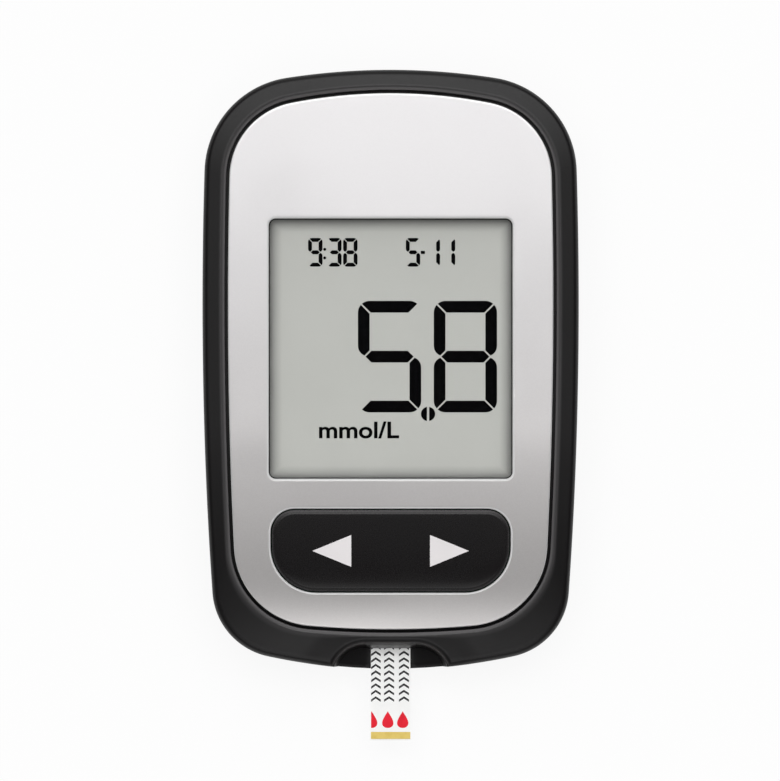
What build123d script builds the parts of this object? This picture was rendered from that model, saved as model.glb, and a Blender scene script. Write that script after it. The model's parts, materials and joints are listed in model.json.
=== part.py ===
# Blood glucose meter that lies on its back with the display upwards.
# The origin is the middle of the flat back. +Z comes out of the display, +Y points to the
# top of the meter, and the test strip goes in at the -Y end. All lengths are millimetres.

from build123d import *
import os
from math import asin, cos, degrees, radians, sin, sqrt, tan

# ---------------------------------------------------------------- driving dimensions

# Case: an outline of four large arcs with rounded corners, a flat front, and a nose that
# curves down to the strip port.
case_length = 77.1
case_width = 48.3
case_thickness = 15.3
case_top_radius = 87.2
case_bottom_radius = 74.2
case_side_radius = 559.0
case_widest_y = 8.6
case_top_corner = 12.4
case_bottom_corner = 9.0
case_wall = 1.5
case_floor = 1.8
parting_z = 7.0
front_edge_bevel = 1.3
front_edge_ease = 0.45
back_edge_radius = 4.5
nose_start_y = -8.0
nose_radius = 120.0

# Face plate, let into the front between the raised rims
rim_side = 3.3
rim_top = 3.05
rim_bottom = 5.24
rim_lip_bevel = 0.3
plate_top_radius = 66.1
plate_bottom_radius = 122.3
plate_side_radius = 659.0
plate_widest_y = 8.9
plate_top_corner = 9.8
plate_bottom_corner = 10.5
plate_gap = 0.3
plate_thickness = 1.0
plate_edge_bevel = 0.2
plate_opening_bevel = 0.3
deck_thickness = 1.4
stake_radius = 0.6
stake_head = 0.4
stake_top_inset = 5.5
stake_bottom_inset = 2.1
stake_end_x = 12.0

# Display
window_width = 31.26
window_height = 33.37
window_y = 2.76
window_corner = 0.9
window_reveal = 0.3
lens_lap = 1.2
lens_thickness = 1.0
lens_gap = 0.06
lcd_gap = 0.04
ledge_thickness = 0.45
ring_wall = 0.9
glass_margin = 1.4
glass_end_margin = 0.9
glass_contact_ledge = 2.4
glass_thickness = 0.55
polariser_thickness = 0.2
holder_gap = 0.15
holder_wall = 0.8
holder_ledge = 2.0
zebra_width = 1.6
zebra_end_margin = 2.0

# Rocker key
key_width = 30.8
key_height = 10.8
key_y = -23.18
key_top_corner = 3.07
key_bottom_corner = 5.9
key_gap = 0.15
key_proud = 0.3
key_wall = 1.1
key_edge_bevel = 0.3
key_travel_deg = 2.0
key_flange = 0.6
key_flange_gap = 0.2
key_flange_thickness = 0.6
trunnion_radius = 0.6
trunnion_length = 0.8
trunnion_root = 1.6
trunnion_gap = 0.05
trunnion_seat_width = 2.4
trunnion_seat_length = 1.92
arrow_base_x = 5.05
arrow_tip_x = 10.05
arrow_height = 4.1
arrow_depth = 0.25
dome_x = 7.6
dome_reach = 3.0
dome_flat = 1.2
dome_height = 0.35
dome_skin = 0.12
dome_leg_width = 2.2
nub_radius = 1.1

# Main board
board_thickness = 1.0
board_rise = 1.4
board_inset = 2.5
board_boss_gap = 0.3
board_prop = 1.8
board_overlap = 1.0
board_top_screw_x = 13.0
board_boss_radius = 1.4
board_screw_radius = 0.6
board_screw_head = 1.15
board_screw_head_height = 0.8
board_screw_bite = 1.6
board_screw_hole = 2.0

# Parts under the main board
lead_reach = 0.6
lead_width = 0.3
lead_thickness = 0.2
controller_x = -8.0
controller_y = -6.0
controller_length = 8.0
controller_width = 7.0
controller_height = 1.1
controller_lead_count = 9
amplifier_length = 4.4
amplifier_width = 4.0
amplifier_height = 0.9
amplifier_lead_count = 5
amplifier_gap = 0.85
crystal_x = -8.0
crystal_y = -13.0
crystal_length = 3.2
crystal_width = 1.5
crystal_height = 0.8
small_part_count = 5
small_part_x = 8.0
small_part_y = -18.2
small_part_pitch = 1.6
small_part_length = 1.6
small_part_width = 0.8
small_part_height = 0.6
buzzer_x = 12.5
buzzer_y = -7.5
buzzer_diameter = 9.0
buzzer_height = 2.6
radio_x = -1.5
radio_length = 19.0
radio_width = 5.2
radio_rise = 1.4
radio_thickness = 0.5
shield_x = -3.75
shield_length = 13.5
shield_margin = 0.3
shield_height = 1.4
shield_corner = 0.5

# Case screws
case_screw_side_inset = 6.6
case_screw_top_inset = 7.2
case_screw_bottom_inset = 7.1
case_screw_radius = 0.85
case_screw_head = 1.7
case_screw_head_height = 1.1
case_boss_radius = 2.1
screw_well_gap = 0.2
screw_head_z = 1.2
screw_bite = 3.4

# Test strip and its port
strip_width = 5.1
strip_length = 23.3
strip_proud = 9.2
strip_base_film = 0.25
strip_electrode_film = 0.03
strip_cover_film = 0.12
strip_electrode_length = 4.5
strip_dose_length = 0.9
strip_end_margin = 0.15
strip_lane_count = 6
strip_lane_pitch = 0.8
strip_lane_width = 0.5
strip_gap = 0.05
slot_width = 6.3
slot_height = 0.8
scoop_flat = 3.2
scoop_radius = 4.5
scoop_depth = 3.4
scoop_draft_deg = 8.0
scoop_wall = 1.3
connector_width = 11.0
connector_floor = 1.1
connector_behind = 2.6
connector_gap = 0.25
connector_mouth_bevel = 0.3
connector_bridge = 1.5
connector_rib = 0.2
contact_thickness = 0.15
contact_width = 0.45
contact_tail = 0.9
contact_foot = 1.2
contact_tip = 1.6
contact_tip_drop = 0.35
contact_bend = 0.3
contact_rest = 0.005
shelf_gap = 0.1
shelf_leg = 1.0

# Coin cells and their bay
cell_diameter = 20.0
cell_height = 3.2
cell_can_height = 2.9
cell_cap_diameter = 17.0
cell_gasket_diameter = 18.6
cell_gasket_height = 0.1
cell_y = 14.5
cell_gap = 0.25
pocket_wall = 0.8
pocket_web = 0.7
cell_stand_off = 0.4
bay_headroom = 0.2
bay_ceiling = 0.8
bay_wall = 0.9
contact_spring_thickness = 0.2
contact_spring_width = 3.0
contact_spring_gap = 0.02
contact_slot_gap = 0.2
positive_foot = 0.5
positive_touch = 1.3
positive_tip = 2.6
positive_spring_back = 0.5
positive_bend = 0.25
negative_leg_y = 5.2
negative_rest_y = 3.4
negative_tip_y = -2.0
negative_bend = 0.4

# Battery door
door_gap = 0.15
door_side_margin = 0.35
door_hinge_margin = 0.6
door_latch_margin = 1.6
door_corner = 2.5
door_rib_width = 1.0
hinge_edge_offset = 3.6
knuckle_x = 12.0
knuckle_width = 5.0
pin_radius = 0.45
pin_gap = 0.05
pin_length = 0.8
hinge_gap = 0.12
hinge_roof_thickness = 1.1
hinge_roof_margin = 1.2
latch_width = 9.0
latch_height = 2.4
latch_leg = 0.7
latch_loop = 1.0
latch_hook = 0.32
latch_hook_rise = 0.15
latch_hook_margin = 1.0
latch_nose_gap = 0.12
latch_foot = 0.4
latch_room = 0.8
finger_dish_radius = 9.0
finger_dish_depth = 0.9
finger_dish_offset = 2.0
grip_count = 3
grip_radius = 0.35
grip_pitch = 1.4
grip_margin = 2.0

# Joint between the two shells
shell_lip_inset = 0.75
shell_lip_height = 0.8
shell_lip_gap = 0.05
snap_length = 6.0
snap_height = 0.35
snap_depth = 0.2
snap_y = (12.0, -12.0)
lip_break_width = 19.0

# ---------------------------------------------------------------- worked-out places

half_length = case_length / 2
half_width = case_width / 2
above = case_thickness + 2.0

case_shape = {
    "half_width": half_width,
    "top": half_length,
    "bottom": -half_length,
    "top_radius": case_top_radius,
    "bottom_radius": case_bottom_radius,
    "side_radius": case_side_radius,
    "side_y": case_widest_y,
    "top_corner": case_top_corner,
    "bottom_corner": case_bottom_corner,
}
plate_shape = {
    "half_width": half_width - rim_side,
    "top": half_length - rim_top,
    "bottom": -half_length + rim_bottom,
    "top_radius": plate_top_radius,
    "bottom_radius": plate_bottom_radius,
    "side_radius": plate_side_radius,
    "side_y": plate_widest_y,
    "top_corner": plate_top_corner,
    "bottom_corner": plate_bottom_corner,
}

deck_drop = plate_thickness + deck_thickness


def front_height(y, drop=0.0):
    """Height of the front at y, for the surface that lies drop under it."""
    if y >= nose_start_y:
        return case_thickness - drop
    reach = nose_start_y - y
    return case_thickness - nose_radius + sqrt((nose_radius - drop) ** 2 - reach**2)


window_top = window_y + window_height / 2
window_bottom = window_y - window_height / 2
lens_top_z = front_height(window_bottom - lens_lap, plate_thickness) - lens_gap
lens_bottom_z = lens_top_z - lens_thickness
lcd_seat_z = lens_bottom_z - ledge_thickness
lcd_top_z = lcd_seat_z - lcd_gap
front_glass_z = lcd_top_z - polariser_thickness - glass_thickness
rear_glass_z = front_glass_z - glass_thickness
reflector_z = rear_glass_z - polariser_thickness
glass_half_width = window_width / 2 + glass_margin
glass_bottom = window_bottom - glass_end_margin
rear_glass_top = window_top + glass_end_margin
front_glass_top = rear_glass_top + glass_contact_ledge
holder_top = front_glass_top + holder_gap + holder_wall

board_z = parting_z + board_rise
board_top_z = board_z + board_thickness
board_top_screw_y = holder_top + board_boss_gap + board_boss_radius
board_side_screw_x = key_width / 2 - key_gap + key_flange + key_flange_gap + board_boss_gap + board_boss_radius
board_screws_at = []
for side in (-1, 1):
    board_screws_at.append((side * board_top_screw_x, board_top_screw_y))
    board_screws_at.append((side * board_side_screw_x, key_y))

case_screw_x = half_width - case_screw_side_inset
case_screw_top_y = half_length - case_screw_top_inset
case_screw_bottom_y = -half_length + case_screw_bottom_inset
case_screw_y = (case_screw_top_y, case_screw_bottom_y)
case_screws_at = [(side * case_screw_x, y) for side in (-1, 1) for y in case_screw_y]
screw_shoulder_z = screw_head_z + case_screw_head_height
board_half_width = half_width - board_inset
board_half_length = half_length - board_inset
board_cut_reach = case_screw_x + case_screw_top_y - sqrt(2) * (case_boss_radius + holder_gap)
board_corner = board_half_width + board_half_length - board_cut_reach

stakes_at = []
for side in (-1, 1):
    stakes_at.append((side * stake_end_x, plate_shape["top"] - stake_top_inset))
    stakes_at.append((side * stake_end_x, plate_shape["bottom"] + stake_bottom_inset))

key_tilt = degrees(asin((nose_start_y - key_y) / nose_radius))
trunnion_reach = key_height / 2 - key_gap + key_flange + trunnion_length
trunnion_sag = trunnion_reach**2 / (2 * nose_radius)
key_axis_depth = plate_thickness + trunnion_sag + trunnion_gap + trunnion_radius
key_flange_reach = key_width / 2 - key_gap + key_flange
key_flange_drop = plate_thickness + key_flange_reach * sin(radians(key_travel_deg)) + trunnion_gap
key_flange_bottom_drop = key_flange_drop + key_flange_thickness
key_frame = Location((0, key_y, front_height(key_y)), (key_tilt, 0, 0))
key_axis_at = key_frame * Pos(0, 0, -key_axis_depth)

strip_z = parting_z + strip_gap
strip_layer_z = strip_z + strip_base_film
strip_top_z = strip_layer_z + strip_cover_film
strip_outer_y = -half_length - strip_proud
strip_inner_y = strip_outer_y + strip_length
scoop_y = -half_length + scoop_depth - scoop_radius
connector_front_y = -half_length + scoop_depth + scoop_wall + connector_gap
connector_back_y = strip_inner_y + connector_behind
connector_floor_z = strip_z - strip_gap - connector_floor
board_end_y = connector_front_y + board_overlap
amplifier_front_y = connector_back_y + contact_tail + amplifier_gap
amplifier_y = amplifier_front_y + lead_reach + amplifier_width / 2
radio_y = case_screw_top_y + radio_rise
shelf_z = connector_floor_z - shelf_gap

pocket_radius = cell_diameter / 2 + cell_gap
cell_x = pocket_radius + pocket_web / 2
cell_z = case_floor + cell_stand_off
bay_ceiling_z = cell_z + cell_height + bay_headroom
bay_top_z = bay_ceiling_z + bay_ceiling
door_half_width = cell_x + pocket_radius + door_side_margin
door_near_y = cell_y - pocket_radius - door_hinge_margin
door_far_y = cell_y + pocket_radius + door_latch_margin
door_length = door_far_y - door_near_y
door_middle_y = (door_far_y + door_near_y) / 2
knuckle_radius = case_floor / 2
hinge_y = door_near_y - hinge_edge_offset
hinge_z = knuckle_radius
latch_inner_y = door_far_y - latch_leg - latch_loop / 2
latch_outer_y = latch_inner_y + latch_leg + latch_loop
latch_face_y = latch_outer_y + latch_leg
latch_top_z = case_floor + latch_height
niche_y = latch_face_y + latch_hook + latch_nose_gap
niche_half = latch_width / 2 + door_gap


# ---------------------------------------------------------------- shared shapes


def outline(shape, inset=0.0):
    """Face inside four large arcs with rounded corners, moved inwards by inset."""
    face = Pos(0, shape["top"] - shape["top_radius"]) * Circle(shape["top_radius"] - inset)
    face &= Pos(0, shape["bottom"] + shape["bottom_radius"]) * Circle(shape["bottom_radius"] - inset)
    for side in (-1, 1):
        centre_x = side * (shape["half_width"] - shape["side_radius"])
        face &= Pos(centre_x, shape["side_y"]) * Circle(shape["side_radius"] - inset)
    face = fillet(face.vertices().sort_by(Axis.Y)[-2:], shape["top_corner"] - inset)
    return fillet(face.vertices().sort_by(Axis.Y)[:2], shape["bottom_corner"] - inset)


def upright(face, low, high):
    """Solid that stands on a flat face, from height low to height high."""
    return extrude(Pos(0, 0, low) * face, high - low)


def block(x, y, z):
    """Box between three pairs of limits."""
    size = Box(x[1] - x[0], y[1] - y[0], z[1] - z[0])
    return Pos((x[0] + x[1]) / 2, (y[0] + y[1]) / 2, (z[0] + z[1]) / 2) * size


def post(x, y, radius, low, high):
    """Upright round post or hole."""
    return Pos(x, y, (low + high) / 2) * Cylinder(radius, high - low)


def under_front(drop):
    """All that lies under the front lowered by drop: its side profile, drawn across."""
    top = case_thickness - drop
    far = 2 * case_length
    nose = CenterArc((nose_start_y, case_thickness - nose_radius), nose_radius - drop, 90, 28)
    tip = nose @ 1
    profile = Line((far, top), (nose_start_y, top)) + nose
    profile += Polyline((tip.X, tip.Y), (tip.X, -case_thickness), (far, -case_thickness), (far, top))
    return extrude(Plane.YZ * make_face(profile), case_width, both=True)


def front_layer(face, top_drop, bottom_drop):
    """Sheet that follows the front between two drops under it."""
    return (upright(face, parting_z, above) & under_front(top_drop)) - under_front(bottom_drop)


def on_front(edges, drop=0.0):
    """Those edges that lie in the front lowered by drop, without the line where the nose starts."""
    found = ShapeList()
    for edge in edges:
        middle = edge @ 0.5
        is_knee = abs((edge @ 0).Y - nose_start_y) + abs((edge @ 1).Y - nose_start_y) < 0.01
        if not is_knee and abs(middle.Z - front_height(middle.Y, drop)) < 0.02:
            found.append(edge)
    return found


def window_face(grow=0.0):
    """Display window, made larger all round by grow."""
    corner = window_corner + max(grow, 0.0)
    return Pos(0, window_y) * RectangleRounded(window_width + 2 * grow, window_height + 2 * grow, corner)


def glass_face(low, high, grow=0.0):
    """Display glass between two ends, made larger all round by grow."""
    return Pos(0, (low + high) / 2) * Rectangle(2 * (glass_half_width + grow), high - low + 2 * grow)


def key_face(grow=0.0):
    """Key opening, made larger all round by grow."""
    face = Pos(0, key_y) * Rectangle(key_width + 2 * grow, key_height + 2 * grow)
    face = fillet(face.vertices().sort_by(Axis.Y)[-2:], key_top_corner + grow)
    return fillet(face.vertices().sort_by(Axis.Y)[:2], key_bottom_corner + grow)


def arrow_face(side):
    """Triangle that points away from the middle of the key."""
    base = side * arrow_base_x
    tip = side * arrow_tip_x
    corners = [(base, key_y - arrow_height / 2), (tip, key_y), (base, key_y + arrow_height / 2)]
    return make_face(Polyline(*corners, close=True))


def door_face(grow=0.0):
    """Battery door seen from the back, made larger all round by grow."""
    plate = RectangleRounded(2 * (door_half_width + grow), door_length + 2 * grow, door_corner + grow)
    return Pos(0, door_middle_y) * plate


def pocket_face(grow=0.0):
    """The two round cell pockets, made larger all round by grow."""
    return Pos(-cell_x, cell_y) * Circle(pocket_radius + grow) + Pos(cell_x, cell_y) * Circle(pocket_radius + grow)


def scoop_solid(grow=0.0):
    """Thumb notch round the strip, wider towards the front."""
    height = above - parting_z
    lip_height = front_height(-half_length + scoop_depth) - parting_z
    floor_radius = scoop_radius + grow - lip_height * tan(radians(scoop_draft_deg))
    floor = Pos(0, scoop_y, parting_z) * SlotCenterToCenter(2 * scoop_flat, 2 * floor_radius)
    return extrude(floor, height, taper=-scoop_draft_deg)


def bent_strip(points, bend_radius, thickness, width, place):
    """Leaf spring: a filleted line given a thickness, and a width across its place plane."""
    leaf = trace(FilletPolyline(*points, radius=bend_radius), thickness)
    return place * extrude(leaf, width / 2, both=True)


# ---------------------------------------------------------------- front


def front_frame():
    """Dark front shell: rim, deck under the face plate, window ring, bosses and strip scoop."""
    shell = upright(outline(case_shape), parting_z, above) & under_front(0)
    recess = upright(outline(plate_shape, -plate_gap), parting_z, above) - under_front(plate_thickness)
    shell = chamfer(on_front(shell.edges()), front_edge_bevel)
    shell = chamfer(on_front(shell.edges()), front_edge_ease)
    cut = shell - recess
    shell = chamfer(on_front(new_edges(shell, recess, combined=cut)), rim_lip_bevel)
    inside = upright(outline(case_shape, case_wall), parting_z, above)
    shell -= inside & under_front(deck_drop)

    ribs = upright(window_face(lens_lap + ring_wall), lcd_seat_z, above)
    for x, y in case_screws_at:
        ribs += post(x, y, case_boss_radius, parting_z, above)
    for x, y in board_screws_at:
        ribs += post(x, y, board_boss_radius, board_top_z, above)
    ribs += scoop_solid(scoop_wall)
    for side in (-1, 1):
        seat_y = side * (key_height / 2 + key_flange)
        boss = Box(trunnion_seat_width, trunnion_seat_length, deck_thickness)
        ribs += key_axis_at * Pos(0, seat_y, -trunnion_radius) * boss
    shell += ribs & inside & under_front(plate_thickness + deck_thickness / 2)

    shell -= upright(window_face(lens_lap + lens_gap), lens_bottom_z, above)
    shell -= upright(window_face(window_reveal), parting_z, above)
    shell -= upright(key_face(key_flange + key_flange_gap - key_gap), board_top_z, above)
    seat_length = 2 * (trunnion_reach + key_gap)
    seat = Rot(90, 0, 0) * Cylinder(trunnion_radius + trunnion_gap, seat_length)
    seat += Pos(0, 0, key_axis_depth / 2) * Box(2 * (trunnion_radius + trunnion_gap), seat_length, key_axis_depth)
    shell -= key_axis_at * seat
    for x, y in case_screws_at:
        shell -= post(x, y, case_screw_radius, parting_z, screw_shoulder_z + case_floor + parting_z)
    for x, y in board_screws_at:
        shell -= post(x, y, board_screw_radius, board_top_z, board_top_z + board_screw_hole)
    for x, y in stakes_at:
        shell -= post(x, y, stake_radius + trunnion_gap, parting_z, above)

    shell -= scoop_solid()
    slot_z = (parting_z, parting_z + slot_height)
    shell -= block((-slot_width / 2, slot_width / 2), (-half_length, board_end_y), slot_z)
    lip_space = outline(case_shape, shell_lip_inset - shell_lip_gap) - outline(case_shape, case_wall + 0.5)
    shell -= upright(lip_space, parting_z, parting_z + shell_lip_height + shell_lip_gap)
    return shell - snap_beads(shell_lip_gap)


def snap_beads(grow=0.0):
    """Beads on the back shell's lip that click into the front shell."""
    middle_z = parting_z + shell_lip_height / 2
    tall = snap_height / 2 + grow
    band = outline(case_shape, shell_lip_inset - snap_depth - grow) - outline(case_shape, case_wall - 0.2)
    ring = upright(band, middle_z - tall, middle_z + tall)
    kept = Part()
    for y in snap_y:
        long = snap_length / 2 + grow
        kept += block((-half_width, half_width), (y - long, y + long), (middle_z - tall, middle_z + tall))
    return ring & kept


def face_plate():
    """Silver plate with a bevelled window and key opening, and stakes through the deck."""
    plate = front_layer(outline(plate_shape), 0, plate_thickness)
    plate = chamfer(on_front(plate.edges()), plate_edge_bevel)
    for opening in (window_face(), key_face()):
        tool = upright(opening, parting_z, above)
        cut = plate - tool
        plate = chamfer(on_front(new_edges(plate, tool, combined=cut)), plate_opening_bevel)
    stakes = Part()
    for x, y in stakes_at:
        stakes += post(x, y, stake_radius, parting_z, above)
    stakes &= under_front(plate_thickness / 2)
    return plate + (stakes - under_front(deck_drop + stake_head))


def display_lens():
    """Clear pane that lies on the ledge of the window ring, under the face plate."""
    return upright(window_face(lens_lap), lens_bottom_z, lens_top_z)


def display_glass():
    """Layers of the display: polariser, two panes with a contact ledge, and reflector."""
    return {
        "display_polariser": upright(
            glass_face(glass_bottom, rear_glass_top), front_glass_z + glass_thickness, lcd_top_z
        ),
        "display_front_glass": upright(
            glass_face(glass_bottom, front_glass_top), front_glass_z, front_glass_z + glass_thickness
        ),
        "display_rear_glass": upright(glass_face(glass_bottom, rear_glass_top), rear_glass_z, front_glass_z),
        "display_reflector": upright(glass_face(glass_bottom, rear_glass_top), reflector_z, rear_glass_z),
    }


def display_holder():
    """Tray that holds the display over the board, with a slot for the contact rubber."""
    wall_grow = holder_gap + holder_wall
    tray = upright(glass_face(glass_bottom, front_glass_top, wall_grow), board_top_z, front_glass_z + glass_thickness)
    tray -= upright(glass_face(glass_bottom, front_glass_top, holder_gap), reflector_z, above)
    tray -= upright(glass_face(glass_bottom, rear_glass_top, -holder_ledge), board_top_z, above)
    return tray - upright(zebra_face(holder_gap), board_top_z, above)


def zebra_face(grow=0.0):
    """Footprint of the contact rubber under the display's contact ledge."""
    middle = (rear_glass_top + front_glass_top) / 2
    return Pos(0, middle) * Rectangle(2 * (glass_half_width - zebra_end_margin + grow), zebra_width + 2 * grow)


def display_contact_rubber():
    """Striped contact rubber between the board and the display's contact ledge."""
    return upright(zebra_face(), board_top_z, front_glass_z)


# ---------------------------------------------------------------- rocker key


def rocker_key():
    """Hollow two-way key that rocks on two trunnions, with a nub over each snap dome."""
    cap = upright(key_face(-key_gap), parting_z, above) & under_front(-key_proud)
    cap = chamfer(on_front(cap.edges(), -key_proud), key_edge_bevel)
    cap -= under_front(key_flange_bottom_drop)
    key = cap + front_layer(key_face(key_flange - key_gap), key_flange_drop, key_flange_bottom_drop)
    key -= upright(key_face(-key_gap - key_wall), parting_z, above) & under_front(key_wall - key_proud)
    for side in (-1, 1):
        stub_y = side * (trunnion_reach - (trunnion_root + trunnion_length) / 2)
        stub = Cylinder(trunnion_radius, trunnion_root + trunnion_length)
        key += key_axis_at * Pos(0, stub_y, 0) * Rot(90, 0, 0) * stub
        nub = post(side * dome_x, key_y, nub_radius, board_top_z + dome_height + trunnion_gap / 2, above)
        key += nub & under_front(key_wall / 2)
        key -= front_layer(arrow_face(side), -key_proud - 0.1, arrow_depth - key_proud)
    return key


def key_arrow(side):
    """White arrow moulded flush into the key."""
    return front_layer(arrow_face(side), -key_proud, arrow_depth - key_proud)


def snap_dome(side):
    """Four-legged snap spring on the board that clicks when a nub presses it."""
    rise = dome_height - dome_skin
    arch = [(-dome_reach, 0), (-dome_flat, rise), (dome_flat, rise), (dome_reach, 0)]
    skin = [(x, z + dome_skin) for x, z in reversed(arch)]
    leaf = extrude(Plane.XZ * make_face(Polyline(*arch, *skin, close=True)), dome_leg_width / 2, both=True)
    return Pos(side * dome_x, key_y, board_top_z) * (leaf + Rot(0, 0, 90) * leaf)


# ---------------------------------------------------------------- board


def main_board():
    """Circuit board, cut off at its corners for the case bosses and short of the strip port."""
    face = chamfer(Rectangle(2 * board_half_width, 2 * board_half_length).vertices(), board_corner)
    face -= Pos(0, board_end_y - half_length) * Rectangle(case_width, case_length)
    for x, y in board_screws_at:
        face -= Pos(x, y) * Circle(board_screw_radius + holder_gap)
    return upright(face, board_z, board_top_z)


def board_screws():
    """Pan-head screws that hold the board to the front shell."""
    group = Part()
    for x, y in board_screws_at:
        group += post(x, y, board_screw_head, board_z - board_screw_head_height, board_z)
        group += post(x, y, board_screw_radius, board_z, board_top_z + board_screw_bite)
    return group


def under_board(x, y, length, width, low, high=0.0):
    """Block that hangs under the board, between two depths below it."""
    depth = (board_z - low, board_z - high)
    return block((x - length / 2, x + length / 2), (y - width / 2, y + width / 2), depth)


def chip(x, y, length, width, height, lead_count):
    """Chip under the board, with a row of leads along each long side."""
    body = under_board(x, y, length, width, height)
    lead_pitch = length / (lead_count + 1)
    for index in range(lead_count):
        lead_x = x - length / 2 + lead_pitch * (index + 1)
        body += under_board(lead_x, y, lead_width, width + 2 * lead_reach, lead_thickness)
    return body


def microcontroller():
    """Chip that runs the meter, beside the middle of the board."""
    size = (controller_length, controller_width, controller_height)
    return chip(controller_x, controller_y, *size, controller_lead_count)


def strip_amplifier():
    """Chip that reads the strip, right behind the tails of the strip's contacts."""
    size = (amplifier_length, amplifier_width, amplifier_height)
    return chip(0, amplifier_y, *size, amplifier_lead_count)


def clock_crystal():
    """Tin can of the clock crystal."""
    return under_board(crystal_x, crystal_y, crystal_length, crystal_width, crystal_height)


def small_parts():
    """Resistors and capacitors under the board, in two rows beside the strip amplifier."""
    group = Part()
    for side in (-1, 1):
        for row in range(small_part_count):
            x = side * (small_part_x + small_part_pitch * row)
            group += under_board(x, small_part_y, small_part_width, small_part_length, small_part_height)
    return group


def buzzer():
    """Round sounder on its square base."""
    base_height = buzzer_height / 3
    base = under_board(buzzer_x, buzzer_y, buzzer_diameter, buzzer_diameter, base_height)
    return base + post(buzzer_x, buzzer_y, buzzer_diameter / 2, board_z - buzzer_height, board_z - base_height)


def wireless_module():
    """Small radio board under the top end of the main board."""
    return under_board(radio_x, radio_y, radio_length, radio_width, radio_thickness)


def wireless_shield():
    """Folded tin cover over the radio board, clear of its aerial end."""
    width = radio_width - 2 * shield_margin
    can = under_board(shield_x, radio_y, shield_length, width, radio_thickness + shield_height, radio_thickness)
    return fillet(can.edges().filter_by(Axis.Z), shield_corner)


# ---------------------------------------------------------------- test strip


def strip_block(y, z):
    """Full-width layer of the test strip between two ends."""
    return block((-strip_width / 2, strip_width / 2), y, z)


def strip_lanes():
    """Middles of the strip's contact lanes, side by side."""
    return [strip_lane_pitch * (index - (strip_lane_count - 1) / 2) for index in range(strip_lane_count)]


def test_strip():
    """Layers of the test strip: base film, gold electrodes, printed cover and dosing edge."""
    dose_y = strip_outer_y + strip_end_margin
    cover_y = dose_y + strip_dose_length
    bare_y = strip_inner_y - strip_electrode_length
    electrodes = Part()
    for x in strip_lanes():
        lane_x = (x - strip_lane_width / 2, x + strip_lane_width / 2)
        lane_y = (bare_y, strip_inner_y - strip_end_margin)
        electrodes += block(lane_x, lane_y, (strip_layer_z, strip_layer_z + strip_electrode_film))
    return {
        "test_strip_base": strip_block((strip_outer_y, strip_inner_y), (strip_z, strip_layer_z)),
        "test_strip_cover": strip_block((cover_y, bare_y), (strip_layer_z, strip_top_z)),
        "test_strip_dosing_edge": strip_block((dose_y, cover_y), (strip_layer_z, strip_top_z)),
        "test_strip_electrodes": electrodes,
    }


def strip_connector():
    """Moulded body under the board that guides the strip under its contacts."""
    half = connector_width / 2
    body = block((-half, half), (connector_front_y, connector_back_y), (connector_floor_z, board_z))
    guide = strip_width / 2 + strip_gap
    channel_z = (strip_z - strip_gap, strip_top_z + strip_gap)
    body -= block((-guide, guide), (connector_front_y, strip_inner_y + strip_gap), channel_z)
    front = body.edges().filter_by(Axis.X).group_by(Axis.Y)[0]
    mouth = front.filter_by(lambda edge: abs(edge.center().Z - channel_z[1]) < 0.01)
    body = chamfer(mouth, connector_mouth_bevel)
    cell_half = (strip_lane_pitch - connector_rib) / 2
    for x in strip_lanes():
        lane_y = (connector_front_y + connector_bridge, connector_back_y)
        body -= block((x - cell_half, x + cell_half), lane_y, (channel_z[1] - 0.01, board_z))
    return body


def strip_contacts():
    """Sprung contacts that press on the strip's electrodes from above."""
    half = contact_thickness / 2
    touch_z = strip_layer_z + strip_electrode_film + half + contact_rest
    touch_y = strip_inner_y - strip_electrode_length / 2
    solder_z = board_z - half
    points = [
        (connector_back_y + contact_tail, solder_z),
        (connector_back_y - contact_foot, solder_z),
        (touch_y, touch_z),
        (touch_y - contact_tip, solder_z - contact_tip_drop),
    ]
    group = Part()
    for x in strip_lanes():
        place = Plane(origin=(x, 0, 0), x_dir=(0, 1, 0), z_dir=(1, 0, 0))
        group += bent_strip(points, contact_bend, contact_thickness, contact_width, place)
    return group


# ---------------------------------------------------------------- coin cells


def coin_cell(side):
    """Coin cell with its can towards the door: can, sealing ring and cap."""
    x = side * cell_x
    gasket_z = cell_z + cell_can_height
    cap_z = gasket_z + cell_gasket_height
    can = post(x, cell_y, cell_diameter / 2, cell_z, gasket_z)
    gasket = post(x, cell_y, cell_gasket_diameter / 2, gasket_z, cap_z)
    cap = post(x, cell_y, cell_cap_diameter / 2, cap_z, cell_z + cell_height)
    return can, gasket, cap


def positive_place(side):
    """Plane through the cell's middle towards the outer far corner of the bay, where the
    side contact stands: local x runs away from the cell and local y upwards."""
    direction = Vector(side * cos(radians(45)), sin(radians(45)), 0)
    across = Vector(direction.Y, -direction.X, 0)
    return Plane(origin=(side * cell_x, cell_y, 0), x_dir=direction, z_dir=across)


def positive_contact(side):
    """Leaf from the board that bends down and back to press on the side of the can."""
    half = contact_spring_thickness / 2
    touch = cell_diameter / 2 + half + contact_spring_gap
    leg = pocket_radius + pocket_wall + half
    points = [
        (leg, board_z),
        (leg, cell_z + positive_foot),
        (touch, cell_z + positive_touch),
        (leg - positive_spring_back, cell_z + positive_tip),
    ]
    place = positive_place(side)
    return bent_strip(points, positive_bend, contact_spring_thickness, contact_spring_width, place)


def negative_contact(side):
    """Leaf from the board that bends down through the bay's ceiling onto the cell's cap."""
    half = contact_spring_thickness / 2
    touch_z = cell_z + cell_height + half + contact_spring_gap
    rest_z = bay_top_z + half
    points = [
        (negative_leg_y, board_z),
        (negative_leg_y, rest_z),
        (negative_rest_y, rest_z),
        (0, touch_z),
        (negative_tip_y, bay_top_z - half),
    ]
    place = Plane(origin=(side * cell_x, cell_y, 0), x_dir=(0, -1, 0), z_dir=(-1, 0, 0))
    return bent_strip(points, negative_bend, contact_spring_thickness, contact_spring_width, place)


# ---------------------------------------------------------------- back


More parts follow.
